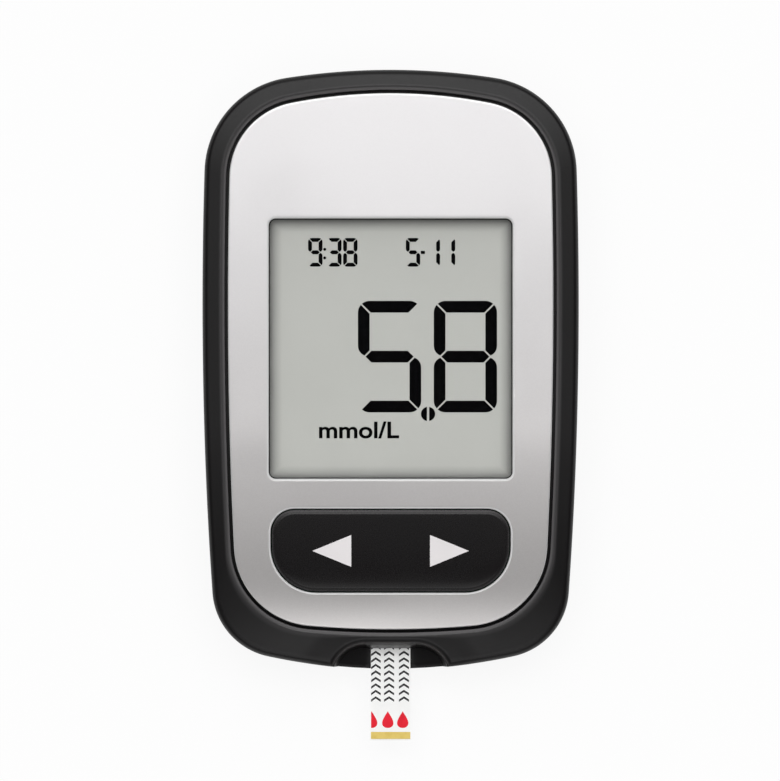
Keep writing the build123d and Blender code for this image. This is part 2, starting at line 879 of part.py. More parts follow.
def back_form(inset, floor):
    """Outer or inner form of the back shell: its lower edge is rounded by a bevel that
    touches the arc of back_edge_radius."""
    form = upright(outline(case_shape, inset), floor, parting_z)
    return chamfer(form.edges().group_by(Axis.Z)[0], (back_edge_radius - inset) * (2 - sqrt(2)))


def rounded_back():
    """Outer form of the back shell, with both edges of its bevel eased along the same arc."""
    form = back_form(0, 0)
    bevel_top = back_edge_radius * (2 - sqrt(2))
    ease = back_edge_radius * (tan(radians(22.5)) - tan(radians(11.25)))
    form = chamfer(form.edges().group_by(Axis.Z)[0], ease)
    return chamfer(form.edges().filter_by_position(Axis.Z, bevel_top - 0.01, bevel_top + 0.01), ease)


def hinge_notch(side):
    """Space in the floor for a door knuckle, with the two holes for its pins."""
    half = knuckle_width / 2 + hinge_gap
    reach = knuckle_radius + hinge_gap
    x = (side * knuckle_x - half, side * knuckle_x + half)
    space = block(x, (hinge_y - reach, door_near_y), (-1.0, hinge_z + reach))
    hole = Pos(side * knuckle_x, hinge_y, hinge_z) * Rot(0, 90, 0)
    return space + hole * Cylinder(pin_radius + pin_gap, 2 * (half + pin_length + pin_gap))


def battery_bay():
    """Walls and ceiling round the cells and the latch, with a ring round each cell."""
    bay = upright(door_face(bay_wall), case_floor, bay_top_z)
    wall_y = (door_middle_y, niche_y + door_gap + bay_wall)
    bay += block((-niche_half - bay_wall, niche_half + bay_wall), wall_y, (case_floor, bay_top_z))
    room = upright(door_face(door_gap), case_floor, bay_ceiling_z)
    rings = upright(pocket_face(pocket_wall) - pocket_face(), case_floor, bay_ceiling_z)
    return bay - room + (rings & room)


def strip_shelf():
    """Shelf under the strip port that closes the thumb notch, on three ribs."""
    notch = scoop_solid(scoop_wall) & block((-half_width, half_width), (-half_length, 0), (0, above))
    shelf = upright(notch.faces().sort_by(Axis.Z)[0], shelf_z - parting_z, 0)
    rib_y = (-half_length, connector_front_y - scoop_wall / 2)
    for x in (-scoop_flat - shelf_leg, 0, scoop_flat + shelf_leg):
        shelf += block((x - shelf_leg / 2, x + shelf_leg / 2), rib_y, (case_floor / 2, shelf_z))
    return shelf


def shell_lip():
    """Lip with snap beads that enters the front shell, left out round the strip port."""
    lip = outline(case_shape, shell_lip_inset) - outline(case_shape, case_wall)
    lip = upright(lip, parting_z - shell_lip_height / 2, parting_z + shell_lip_height) + snap_beads()
    port = (-lip_break_width / 2, lip_break_width / 2)
    return lip - block(port, (-half_length, -half_length / 2), (0, above))


def hinge_roof(side):
    """Thicker floor over a door knuckle, which holds the ends of its pins."""
    x = side * knuckle_x
    reach = knuckle_width / 2 + pin_length + hinge_roof_thickness
    roof_y = (hinge_y - knuckle_radius - hinge_roof_margin, door_near_y - door_gap)
    return block((x - reach, x + reach), roof_y, (case_floor / 2, case_floor + hinge_roof_thickness))


def board_post(side):
    """Post from the floor to the board, right under a snap dome."""
    x = side * dome_x
    half = board_prop / 2
    return block((x - half, x + half), (key_y - half, key_y + half), (case_floor / 2, board_z))


def latch_niche():
    """Room for the door's latch: open at the floor, and wider under it for the hook."""
    niche = block((-niche_half, niche_half), (door_middle_y, niche_y), (-1, case_floor))
    room_y = (door_far_y - bay_wall, niche_y + door_gap)
    return niche + block((-niche_half, niche_half), room_y, (case_floor, latch_top_z + latch_room))


def contact_slots(side):
    """Openings in the bay's wall and ceiling for the two contacts of a cell."""
    wide = contact_spring_width / 2 + contact_slot_gap
    reach = pocket_wall + 2 * contact_spring_thickness + 2 * contact_slot_gap
    middle = pocket_radius - 2 * contact_slot_gap + reach / 2
    wall_slot = Pos(middle, (case_floor + bay_top_z) / 2, 0) * Box(reach, bay_top_z - case_floor, 2 * wide)
    leaf_x = (side * cell_x - wide, side * cell_x + wide)
    leaf_y = (cell_y - negative_leg_y - 3 * contact_spring_thickness, cell_y - negative_tip_y + bay_ceiling)
    return positive_place(side) * wall_slot + block(leaf_x, leaf_y, (bay_ceiling_z - 0.1, bay_top_z + 0.1))


def back_housing():
    """Back shell: floor, cell pockets, door opening, screw tubes, strip shelf and lip."""
    inner = back_form(case_wall, case_floor)
    ribs = battery_bay() + strip_shelf()
    for x, y in case_screws_at:
        ribs += post(x, y, case_boss_radius + holder_gap * 2, case_floor / 2, parting_z)
    for side in (-1, 1):
        ribs += hinge_roof(side) + board_post(side)
    room = inner + upright(outline(case_shape, board_inset), parting_z, board_z)
    shell = rounded_back() - inner + (ribs & room) + shell_lip()

    shell -= upright(door_face(door_gap), -1, case_floor + 0.2)
    shell -= latch_niche()
    dish = Rot(0, 90, 0) * Cylinder(finger_dish_radius, latch_width)
    shell -= Pos(0, niche_y + finger_dish_offset, finger_dish_depth - finger_dish_radius) * dish
    for side in (-1, 1):
        shell -= hinge_notch(side)
        shell -= contact_slots(side)
    for x, y in case_screws_at:
        shell -= post(x, y, case_screw_head + screw_well_gap, -1, screw_shoulder_z)
        shell -= post(x, y, case_screw_radius + screw_well_gap, 0, parting_z)
    return shell


def case_screws():
    """Screws from the back into the front shell's bosses."""
    group = Part()
    for x, y in case_screws_at:
        group += post(x, y, case_screw_head, screw_head_z, screw_shoulder_z)
        group += post(x, y, case_screw_radius, screw_shoulder_z, parting_z + screw_bite)
    return group


def door_latch():
    """Sprung loop at the door's far edge: two legs, an arch over them, and a hook."""
    half = latch_width / 2
    middle_y = (latch_inner_y + latch_outer_y) / 2
    leg_top = latch_top_z - latch_leg - latch_loop / 2
    ring = Cylinder(latch_loop / 2 + latch_leg, latch_width) - Cylinder(latch_loop / 2, latch_width)
    upper = Pos(0, 0, case_floor) * Box(latch_width, 3 * case_floor, 2 * case_floor)
    latch = Pos(0, middle_y, leg_top) * (Rot(0, 90, 0) * ring & upper)
    near_leg = (middle_y - latch_loop / 2 - latch_leg, middle_y - latch_loop / 2)
    far_leg = (middle_y + latch_loop / 2, middle_y + latch_loop / 2 + latch_leg)
    latch += block((-half, half), near_leg, (0, leg_top))
    latch += block((-half, half), far_leg, (latch_foot, leg_top))
    hook = Rot(0, 90, 0) * Cylinder(latch_hook, latch_width - 2 * latch_hook_margin)
    return latch + Pos(0, far_leg[1], case_floor + latch_hook_rise + latch_hook) * hook


def door_hinge(side):
    """Knuckle with its two pins, joined to the door's near edge."""
    x = side * knuckle_x
    axis = Pos(x, hinge_y, hinge_z) * Rot(0, 90, 0)
    hinge = axis * Cylinder(knuckle_radius, knuckle_width) + axis * Cylinder(pin_radius, knuckle_width + 2 * pin_length)
    span = (x - knuckle_width / 2, x + knuckle_width / 2)
    return hinge + block(span, (hinge_y, door_near_y + door_corner / 2), (0, case_floor))


def battery_door():
    """Door that follows the back's form, with two hinge knuckles and a sprung latch loop."""
    plate = rounded_back() & upright(door_face(), 0, case_floor)
    door = plate - block((-niche_half, niche_half), (latch_outer_y - latch_loop, door_far_y), (-1, case_floor))
    door += door_latch()
    rib_y = (cell_y - pocket_radius / 2, cell_y + pocket_radius / 2)
    for side in (-1, 1):
        rib_x = (side * cell_x - door_rib_width / 2, side * cell_x + door_rib_width / 2)
        door += door_hinge(side) + block(rib_x, rib_y, (case_floor / 2, cell_z - contact_spring_gap))
    for row in range(grip_count):
        grip = Pos(0, latch_inner_y - grip_margin - grip_pitch * row, 0) * Rot(0, 90, 0)
        door -= grip * Cylinder(grip_radius, latch_width)
    return door


# ---------------------------------------------------------------- write each node

nodes = {
    "front_frame": front_frame(),
    "face_plate": face_plate(),
    "display_lens": display_lens(),
    "display_holder": display_holder(),
    "display_contact_rubber": display_contact_rubber(),
    "rocker_key": rocker_key(),
    "main_board": main_board(),
    "board_screws": board_screws(),
    "microcontroller": microcontroller(),
    "strip_amplifier": strip_amplifier(),
    "clock_crystal": clock_crystal(),
    "board_small_parts": small_parts(),
    "buzzer": buzzer(),
    "wireless_module": wireless_module(),
    "wireless_shield": wireless_shield(),
    "strip_connector": strip_connector(),
    "strip_contacts": strip_contacts(),
    "back_housing": back_housing(),
    "case_screws": case_screws(),
    "battery_door": battery_door(),
}
nodes.update(display_glass())
nodes.update(test_strip())
for side, word in ((-1, "left"), (1, "right")):
    nodes["key_arrow_" + word] = key_arrow(side)
    nodes["snap_dome_" + word] = snap_dome(side)
    can, gasket, cap = coin_cell(side)
    nodes["coin_cell_can_" + word] = can
    nodes["coin_cell_gasket_" + word] = gasket
    nodes["coin_cell_cap_" + word] = cap
    nodes["positive_contact_" + word] = positive_contact(side)
    nodes["negative_contact_" + word] = negative_contact(side)

os.makedirs("parts", exist_ok=True)
for name, shape in nodes.items():
    export_step(shape, "parts/" + name + ".step")

key_axis_middle = key_axis_at.position
print("key axis passes", key_axis_middle, "and is tilted by", round(key_tilt, 4), "degrees")
print("door hinge at y", round(hinge_y, 4), "z", round(hinge_z, 4))
print("nodes written:", len(nodes))
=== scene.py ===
# %% [markdown]
# Blood glucose meter, dressed around its frame. The frame brings every piece at its true size
# and place, in metres, with +Z out of the display and +Y to the top of the meter. The cells
# below add the finish of each surface, and finer skins over the parts that the eye meets first:
# the rounded case, the silver plate, the rocker key, the figures of the display and the print
# on the test strip.

# %% The frame
import json
import math

import bmesh
import bpy
import numpy as np
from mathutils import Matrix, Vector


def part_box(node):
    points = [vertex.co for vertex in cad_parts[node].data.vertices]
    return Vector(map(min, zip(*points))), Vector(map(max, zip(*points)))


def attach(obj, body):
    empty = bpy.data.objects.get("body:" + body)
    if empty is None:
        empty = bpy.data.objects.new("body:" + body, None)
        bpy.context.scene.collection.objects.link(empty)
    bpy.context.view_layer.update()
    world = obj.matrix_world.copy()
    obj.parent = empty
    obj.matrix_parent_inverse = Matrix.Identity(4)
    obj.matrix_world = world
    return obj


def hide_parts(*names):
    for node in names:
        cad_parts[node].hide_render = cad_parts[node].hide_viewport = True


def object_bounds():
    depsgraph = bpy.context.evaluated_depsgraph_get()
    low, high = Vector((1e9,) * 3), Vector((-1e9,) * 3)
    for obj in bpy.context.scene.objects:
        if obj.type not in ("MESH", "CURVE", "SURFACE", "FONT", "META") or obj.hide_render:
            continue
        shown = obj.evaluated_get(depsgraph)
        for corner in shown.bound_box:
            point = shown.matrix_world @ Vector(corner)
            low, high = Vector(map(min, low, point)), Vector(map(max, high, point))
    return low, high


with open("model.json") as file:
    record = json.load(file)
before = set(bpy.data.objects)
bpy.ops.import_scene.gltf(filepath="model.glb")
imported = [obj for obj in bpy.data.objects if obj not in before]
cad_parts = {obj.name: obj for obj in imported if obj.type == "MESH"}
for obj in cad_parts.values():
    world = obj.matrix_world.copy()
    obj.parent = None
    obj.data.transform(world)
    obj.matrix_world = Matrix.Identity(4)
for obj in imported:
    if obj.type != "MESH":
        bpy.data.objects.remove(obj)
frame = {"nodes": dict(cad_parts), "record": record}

MM = 0.001
cad_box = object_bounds()
nodes = frame["nodes"]
slot_of = {part["node"]: part["material_slot"] for part in frame["record"]["subparts"]}

# %% [markdown]
# The camera looks straight down on the meter through a long lens, so the walls of the case
# stay out of sight and the front shows its true outline. The lens length follows from the
# width of the view and the distance of the camera.

# %% Camera
view_width = 99.95
view_distance = 1000.0
view_centre = (-0.08, -2.61)
front_top_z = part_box("front_frame")[1].z / MM


def in_scene(name, data):
    """New object around its data, linked into the scene."""
    thing = bpy.data.objects.new(name, data)
    bpy.context.scene.collection.objects.link(thing)
    return thing


camera_data = bpy.data.cameras.new("camera")
camera_data.sensor_fit = "HORIZONTAL"
camera_data.lens = camera_data.sensor_width * view_distance / view_width
camera = in_scene("camera", camera_data)
camera.location = (view_centre[0] * MM, view_centre[1] * MM, (front_top_z + view_distance) * MM)
bpy.context.scene.camera = camera
bpy.context.scene.view_settings.view_transform = "Standard"
print("lens", round(camera_data.lens, 1), "mm")

# %% [markdown]
# A small studio: a white floor, a sky that is bright beyond the top of the meter and dark
# overhead and along both sides, and two lamps. The dark parts keep black plastic black. The lamp
# overhead lights matt surfaces evenly, and the card at the foot only shows as a reflection, as a
# white card does that is held over a shiny thing.


# %% Shader nodes
def feed(tree, inputs, values):
    """Sets a node's inputs, by name or number, each to a value or to the socket joined to it."""
    for key, value in values.items():
        if isinstance(value, bpy.types.NodeSocket):
            tree.links.new(value, inputs[key])
        else:
            inputs[key].default_value = (*value, 1.0) if isinstance(value, tuple) else value


def add(tree, kind, values=None, **settings):
    """New shader node with its inputs and its settings. Gives its outputs."""
    node = tree.nodes.new("ShaderNode" + kind)
    for key, value in settings.items():
        setattr(node, key, value)
    feed(tree, node.inputs, values or {})
    return node.outputs


def map_range(tree, source, low, high, to_low, to_high, shape="SMOOTHSTEP"):
    """Step of a value from one range to another, smooth unless told otherwise."""
    ends = {"Value": source, "From Min": low, "From Max": high, "To Min": to_low, "To Max": to_high}
    return add(tree, "MapRange", ends, interpolation_type=shape)["Result"]


def math_node(tree, operation, first, second=0.0):
    """Sum, product or other pairing of two values, each a socket or a number."""
    return add(tree, "Math", {0: first, 1: second}, operation=operation)[0]


def between(tree, share, first, second):
    """Value between two values, by a share."""
    return add(tree, "Mix", {"Factor": share, "A": first, "B": second})["Result"]


# %% Floor
floor_half = 1.5
floor_z = cad_box[0][2] - 0.02 * MM
floor_shine = 0.9
paper_white, paper_in_gloss = 0.93, 0.6

floor_paint = bpy.data.materials.new("studio_floor")
floor_paint.use_nodes = True
tree = floor_paint.node_tree
tree.nodes.clear()
rays = add(tree, "LightPath")
whiteness = between(tree, rays["Is Glossy Ray"], paper_white, paper_in_gloss)
paper = add(tree, "BsdfDiffuse", {"Color": whiteness})[0]
glow = add(tree, "Emission", {"Strength": 1.0})[0]
seen = math_node(tree, "MULTIPLY", rays["Is Camera Ray"], floor_shine)
add(tree, "OutputMaterial", {"Surface": add(tree, "MixShader", {0: seen, 1: paper, 2: glow})[0]})

floor_mesh = bpy.data.meshes.new("studio_floor")
square = floor_half * np.array([(-1, -1), (1, -1), (1, 1), (-1, 1)])
floor_mesh.from_pydata([(x, y, floor_z) for x, y in square], [], [(0, 1, 2, 3)])
floor_mesh.materials.append(floor_paint)
floor = in_scene("studio_floor", floor_mesh)
print("floor laid at", round(floor_z / MM, 2), "mm")

# %% Sky
sky_bands = [
    (-90, 0.45), (-60, 0.45), (-42, 0.3), (-32, 0.12), (-24, 0.05), (-16, 0.14), (-9, 1.25), (-3.5, 0.03),
    (3.5, 0.08), (9, 3.5), (16, 4.5), (26, 3.4), (38, 1.72), (52, 0.85), (70, 1.0), (90, 1.1),
]
sky_side_level = 0.22

sky = bpy.data.worlds.new("studio_sky")
bpy.context.scene.world = sky
sky.use_nodes = True
tree = sky.node_tree
tree.nodes.clear()
towards = add(tree, "SeparateXYZ", {0: add(tree, "TexCoord")["Generated"]})
lean = math_node(tree, "ARCTAN2", towards["Y"], towards["Z"])
share = map_range(tree, lean, -math.pi / 2, math.pi / 2, 0.0, 1.0, "LINEAR")
bands = add(tree, "ValToRGB", {"Fac": share})["Color"]
stops = bands.node.color_ramp.elements
while len(stops) < len(sky_bands):
    stops.new(1.0)
for stop, (angle, level) in zip(stops, sky_bands):
    stop.position = (angle + 90) / 180
    stop.color = (level, level, level, 1)
aside = map_range(tree, math_node(tree, "ABSOLUTE", towards["X"]), 0.15, 0.6, 0.0, 1.0)
daylight = between(tree, aside, bands, sky_side_level)
strength = between(tree, add(tree, "LightPath")["Is Camera Ray"], daylight, 1.0)
add(tree, "OutputWorld", {"Surface": add(tree, "Background", {"Strength": strength})[0]})
print("sky has", len(stops), "bands")


# %% Lamps
def lamp(name, place, aim, size, power):
    """Rectangular lamp at a place in millimetres, turned to shine at a point."""
    data = bpy.data.lights.new(name, "AREA")
    data.shape = "RECTANGLE"
    data.size, data.size_y = size[0] * MM, size[1] * MM
    data.energy = power
    thing = in_scene(name, data)
    x, y, z = np.subtract(aim, place).astype(float)
    thing.location = [value * MM for value in place]
    thing.rotation_euler = (math.atan2(math.hypot(x, y), -z), 0, math.atan2(y, x) - math.pi / 2)
    thing.visible_camera = False
    return thing


lamp_over = lamp("lamp_over", (0, 0, 900), (0, 0, 10), (700, 700), 3.55)
lamp_over.visible_glossy = False
card_foot = lamp("card_foot", (0, -211, 215), (0, -30, 14), (150, 125), 0.083)
card_foot.visible_diffuse = card_foot.visible_transmission = False
print("lamps hung")

# %% [markdown]
# Most skins here are lofts: a closed loop of points is drawn at many levels, and neighbouring
# levels are joined by four-sided faces. Each loop is a set of points with the outward normal at
# each, so the same loop moved in or out is one sum, and that makes bevels and rounded edges easy.


# %% Loops
def meet(centre_a, radius_a, centre_b, radius_b, towards):
    """Crossing of two circles on the side that lies towards a direction. The crossing lies at
    (ra^2 - rb^2 + d^2) / 2d along the line of centres, and off it by the rest of ra."""
    a, b = np.array(centre_a, float), np.array(centre_b, float)
    gap = np.linalg.norm(b - a)
    along = (b - a) / gap
    step = (radius_a**2 - radius_b**2 + gap**2) / (2 * gap)
    across = np.array((-along[1], along[0]))
    if across @ np.array(towards, float) < 0:
        across = -across
    return a + step * along + math.sqrt(radius_a**2 - step**2) * across


def bearing(centre, point):
    """Angle of a point seen from a centre."""
    return math.atan2(point[1] - centre[1], point[0] - centre[0])


def arc(centre, radius, start, end, count):
    """Points and normals of an arc without its last point. Angles run anticlockwise."""
    if end < start:
        end += 2 * math.pi
    angles = start + (end - start) * np.arange(count) / count
    normals = np.stack([np.cos(angles), np.sin(angles)], 1)
    return np.array(centre, float) + radius * normals, normals


def straight(start, end, count):
    """Points and normals of a straight stretch without its last point, material on its left."""
    way = end - start
    share = np.arange(count)[:, None] / count
    x, y = way / np.linalg.norm(way)
    return start + way * share, np.repeat([[y, -x]], count, 0)


def join(stretches):
    """Puts stretches end to end into one loop of points and normals."""
    return np.concatenate([s[0] for s in stretches]), np.concatenate([s[1] for s in stretches])


def moved(loop, grow):
    """Points of the loop moved outwards by grow along its normals."""
    return loop[0] + grow * loop[1]


print("unit circles a unit apart cross at", meet((0, 0), 1, (1, 0), 1, (0, 1)).round(3))

# %% Outlines of the case and the plate
case_arcs = {
    "half_width": 24.15, "top": 38.55, "bottom": -38.55, "top_radius": 87.2, "bottom_radius": 74.2,
    "side_radius": 559.0, "side_y": 8.6, "top_corner": 12.4, "bottom_corner": 9.0,
}
plate_arcs = {
    "half_width": 20.85, "top": 35.5, "bottom": -33.31, "top_radius": 66.1, "bottom_radius": 122.3,
    "side_radius": 659.0, "side_y": 8.9, "top_corner": 9.8, "bottom_corner": 10.5,
}
side_steps, end_steps, corner_steps = 36, 44, 26


def sides_of(shape):
    """Centres and radii of an outline's four large arcs, right, top, left and bottom, and of
    the four corner arcs that follow them."""
    reach = shape["half_width"] - shape["side_radius"]
    centres = [
        (reach, shape["side_y"]), (0, shape["top"] - shape["top_radius"]),
        (-reach, shape["side_y"]), (0, shape["bottom"] + shape["bottom_radius"]),
    ]
    radii = [shape["side_radius"], shape["top_radius"], shape["side_radius"], shape["bottom_radius"]]
    small = [shape["top_corner"]] * 2 + [shape["bottom_corner"]] * 2
    corners = []
    for k, towards in enumerate([(1, 1), (-1, 1), (-1, -1), (1, -1)]):
        after = (k + 1) % 4
        corners.append(meet(centres[k], radii[k] - small[k], centres[after], radii[after] - small[k], towards))
    return centres, radii, corners, small


def outline_stretches(shape, bottom_cut=None):
    """An outline's stretches from the lower end of the right side, anticlockwise. bottom_cut
    splits the bottom arc at two angles and leaves its middle out."""
    centres, radii, corners, small = sides_of(shape)
    pieces = []
    for k, (centre, radius, corner) in enumerate(zip(centres, radii, corners)):
        start, end = bearing(centre, corners[k - 1]), bearing(centre, corner)
        if k == 3 and bottom_cut is not None:
            pieces.append(arc(centre, radius, start, bottom_cut[0], end_steps // 2))
            pieces.append("notch")
            pieces.append(arc(centre, radius, bottom_cut[1], end, end_steps // 2))
        else:
            pieces.append(arc(centre, radius, start, end, end_steps if k % 2 else side_steps))
        pieces.append(arc(corner, small[k], end, bearing(centres[(k + 1) % 4], corner), corner_steps))
    return pieces


plate_outline = join(outline_stretches(plate_arcs))
print("outline has", len(plate_outline[0]), "points")


# %% Surfaces from rows of points
def raised(flat, height):
    """Flat points lifted to a height, one for all of them or one for each."""
    return np.column_stack([flat, np.broadcast_to(height, len(flat))])


def band_faces(rows, count, closed_rows=False):
    """Four-sided faces between rows of a closed loop. Face (r, c) joins points (r, c), (r, c+1),
    (r+1, c+1) and (r+1, c)."""
    row = np.arange(rows if closed_rows else rows - 1)[:, None]
    column = np.arange(count)[None, :]
    beside = (column + 1) % count
    above = (row + 1) % rows
    quads = [row * count + column, row * count + beside, above * count + beside, above * count + column]
    return np.stack(quads, -1).reshape(-1, 4)


def together(parts):
    """Several pairs of points and faces as one pair, each part's faces counted on."""
    points, faces = zip(*parts)
    starts = np.cumsum([0] + [len(part) for part in points[:-1]])
    return np.concatenate(points), np.concatenate([part + start for part, start in zip(faces, starts)])


def read(items, field, kind=float, width=1):
    """One field of all of a mesh's items as an array, in rows of the given width."""
    values = np.empty(len(items) * width, kind)
    items.foreach_get(field, values)
    return values.reshape(-1, width) if width > 1 else values


def settle(mesh, double, sliver=0.0):
    """Merges doubles, drops edges shorter than sliver, and turns the normals outwards."""
    work = bmesh.new()
    work.from_mesh(mesh)
    bmesh.ops.remove_doubles(work, verts=work.verts, dist=double * MM)
    if sliver:
        bmesh.ops.dissolve_degenerate(work, edges=work.edges, dist=sliver * MM)
    bmesh.ops.recalc_face_normals(work, faces=work.faces)
    work.to_mesh(mesh)
    work.free()


def skin(name, points, faces, flat_above=30.0, painted_highlight=None):
    """Mesh object from points in millimetres, merged and with its normals outwards. Edges
    sharper than flat_above degrees stay sharp. The share of painted highlight per point, if given,
    is for a finish to read."""
    mesh = bpy.data.meshes.new(name)
    mesh.from_pydata((np.asarray(points, float) * MM).tolist(), [], np.asarray(faces).tolist())
    if painted_highlight is not None:
        mesh.attributes.new("painted_highlight", "FLOAT", "POINT").data.foreach_set("value", np.asarray(painted_highlight, float))
    settle(mesh, 0.002, 0.001)
    mesh.shade_smooth()
    mesh.set_sharp_from_angle(angle=math.radians(flat_above))
    return in_scene(name, mesh)


def dress(thing, body, material, replaces=()):
    """Gives a piece its material, the body that it moves with and the nodes it stands for."""
    thing.data.materials.clear()
    thing.data.materials.append(material)
    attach(thing, body)
    if replaces:
        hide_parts(*replaces)
    print(thing.name, len(thing.data.polygons), "faces")


# %% Heights of the front
nose_start_y = -8.0
nose_radius = 120.0


def front_height(y, drop=0.0):
    """Height of the front at y: flat, then a large arc that falls away under nose_start_y.
    A surface that lies drop under it follows the same arc with a smaller radius."""
    reach = np.maximum(nose_start_y - np.asarray(y, float), 0.0)
    return front_top_z - nose_radius + np.sqrt((nose_radius - drop) ** 2 - reach**2)


def roll_off(y, start, end, depth):
    """Extra fall of a surface towards the foot: depth times the squared share of the way."""
    return depth * np.maximum((start - np.asarray(y, float)) / (start - end), 0.0) ** 2


def smooth_step(value, low, high):
    """Eased share s of the way from low to high: s^2 (3 - 2s)."""
    share = np.clip((value - low) / (high - low), 0, 1)
    return share * share * (3 - 2 * share)


print("the front falls by", round(float(front_top_z - front_height(case_arcs["bottom"])), 2), "mm at its foot")

# %% [markdown]
# Finishes. Each effect is a node group that any finish can take with its own values: fine grain
# for moulded plastic, metallic flake for the silver paint, a painted shade that darkens the silver
# plate along the meter, and a painted shadow round the border of a flat pane. The groups read
# object coordinates, so a grain has the same size on every piece.


# %% Effects of texture
def new_group(name, inputs, outputs):
    """Empty shader node group with named inputs, each with a first value, and named outputs.
    Gives the group, the sockets inside it that its inputs reach, and those of its outputs."""
    group = bpy.data.node_groups.new(name, "ShaderNodeTree")
    for label, value in inputs.items():
        socket = group.interface.new_socket(label, in_out="INPUT", socket_type="NodeSocketFloat")
        socket.default_value = value
    for label in outputs:
        group.interface.new_socket(label, in_out="OUTPUT", socket_type="NodeSocketFloat")
    return group, group.nodes.new("NodeGroupInput").outputs, group.nodes.new("NodeGroupOutput").inputs


def noise(tree, scale):
    """Noise over object coordinates, with its scale from a socket or a number."""
    place = add(tree, "TexCoord")["Object"]
    return add(tree, "TexNoise", {"Vector": place, "Scale": scale, "Detail": 3.0})["Fac"]


def make_grain():
    """Fine moulded grain: a small bump height, soft patches from 0 to 1, and the product of
    both, which varies the gloss."""
    group, given, ends = new_group("fine_grain", {"Scale": 6000.0, "Patch Scale": 120.0}, ["Height", "Gloss", "Patch"])
    fine, patch = noise(group, given["Scale"]), noise(group, given["Patch Scale"])
    soft = map_range(group, patch, 0.3, 0.7, 0.0, 1.0)
    feed(group, ends, {"Height": fine, "Patch": soft, "Gloss": math_node(group, "MULTIPLY", fine, patch)})
    return group


def make_flake():
    """Metallic flake: cells of random lightness with a small height each."""
    group, given, ends = new_group("metal_flake", {"Scale": 9000.0}, ["Light", "Height"])
    place = add(group, "TexCoord")["Object"]
    cells = add(group, "TexVoronoi", {"Vector": place, "Scale": given["Scale"]})["Color"]
    chance = add(group, "SeparateColor", {"Color": cells})
    feed(group, ends, {"Light": chance[0], "Height": chance[1]})
    return group


grain_group, flake_group = make_grain(), make_flake()
print("effects of texture:", grain_group.name, "and", flake_group.name)


# %% Effects of place
def place_along(tree, axis):
    """Object coordinate along one axis, in millimetres."""
    split = add(tree, "SeparateXYZ", {0: add(tree, "TexCoord")["Object"]})
    return math_node(tree, "MULTIPLY", split[axis], 1 / MM)


def make_foot_shade():
    """Share of a painted shade along the meter: 0 at Start and 1 at End, read along object Y in
    millimetres.
    """
    group, given, ends = new_group("painted_foot_shade", {"Start": 0.0, "End": 1.0}, ["Share"])
    share = map_range(group, place_along(group, "Y"), given["Start"], given["End"], 0.0, 1.0)
    feed(group, ends, {"Share": share})
    return group


def make_painted_border_shadow():
    """Share of a painted shadow round a pane: it rises from 0 at the edge of an upright rectangle
    to 1 at Reach inside it, in millimetres. The distance to the edge is the smaller of half size
    less |place|, per axis."""
    sizes = {"Middle Y": 0.0, "Half Width": 10.0, "Half Height": 10.0, "Reach": 2.0}
    group, given, ends = new_group("painted_border_shadow", sizes, ["Share"])
    across = math_node(group, "ABSOLUTE", place_along(group, "X"))
    along = math_node(group, "SUBTRACT", place_along(group, "Y"), given["Middle Y"])
    side = math_node(group, "SUBTRACT", given["Half Width"], across)
    end = math_node(group, "SUBTRACT", given["Half Height"], math_node(group, "ABSOLUTE", along))
    step = math_node(group, "DIVIDE", math_node(group, "MINIMUM", side, end), given["Reach"])
    step = map_range(group, step, 0.0, 1.0, 0.0, 1.0, "LINEAR")
    feed(group, ends, {"Share": math_node(group, "POWER", step, 0.5)})
    return group


foot_shade_group, border_shadow_group = make_foot_shade(), make_painted_border_shadow()
print("effects of place:", foot_shade_group.name, "and", border_shadow_group.name)


# %% Groups and colours
def placed(tree, group, **values):
    """A group in a material, with its own values on its inputs. Gives its outputs."""
    return add(tree, "Group", {label.replace("_", " "): value for label, value in values.items()}, node_tree=group)


def mixed(tree, share, first, second):
    """Colour between two colours, each a socket or a tuple, by a share."""
    return add(tree, "Mix", {"Factor": share, 6: first, 7: second}, data_type="RGBA")[2]


def tone(red, green, blue):
    """Linear colour of three screen levels from 0 to 255. The share s of full brightness becomes
    ((s + 0.055) / 1.055)^2.4, or s / 12.92 in the darkest tones."""
    shares = [level / 255 for level in (red, green, blue)]
    return tuple(((share + 0.055) / 1.055) ** 2.4 if share > 0.04045 else share / 12.92 for share in shares)


print("a middle grey, 128 of 255, is", round(tone(128, 128, 128)[0], 3), "in linear light")


# %% Material helpers
def bumped(tree, height, distance, strength=0.5):
    """Normal of a surface with a bump, its height in millimetres."""
    return add(tree, "Bump", {"Strength": strength, "Distance": distance * MM, "Height": height})["Normal"]


def painted_highlight_share(tree):
    """The share of painted highlight that a piece's points carry, from 0 to 1."""
    return add(tree, "Attribute", attribute_name="painted_highlight")["Fac"]


def new_finish(name):
    """New material with its node tree and its shader."""
    material = bpy.data.materials.new(name)
    material.use_nodes = True
    return material, material.node_tree, material.node_tree.nodes["Principled BSDF"]


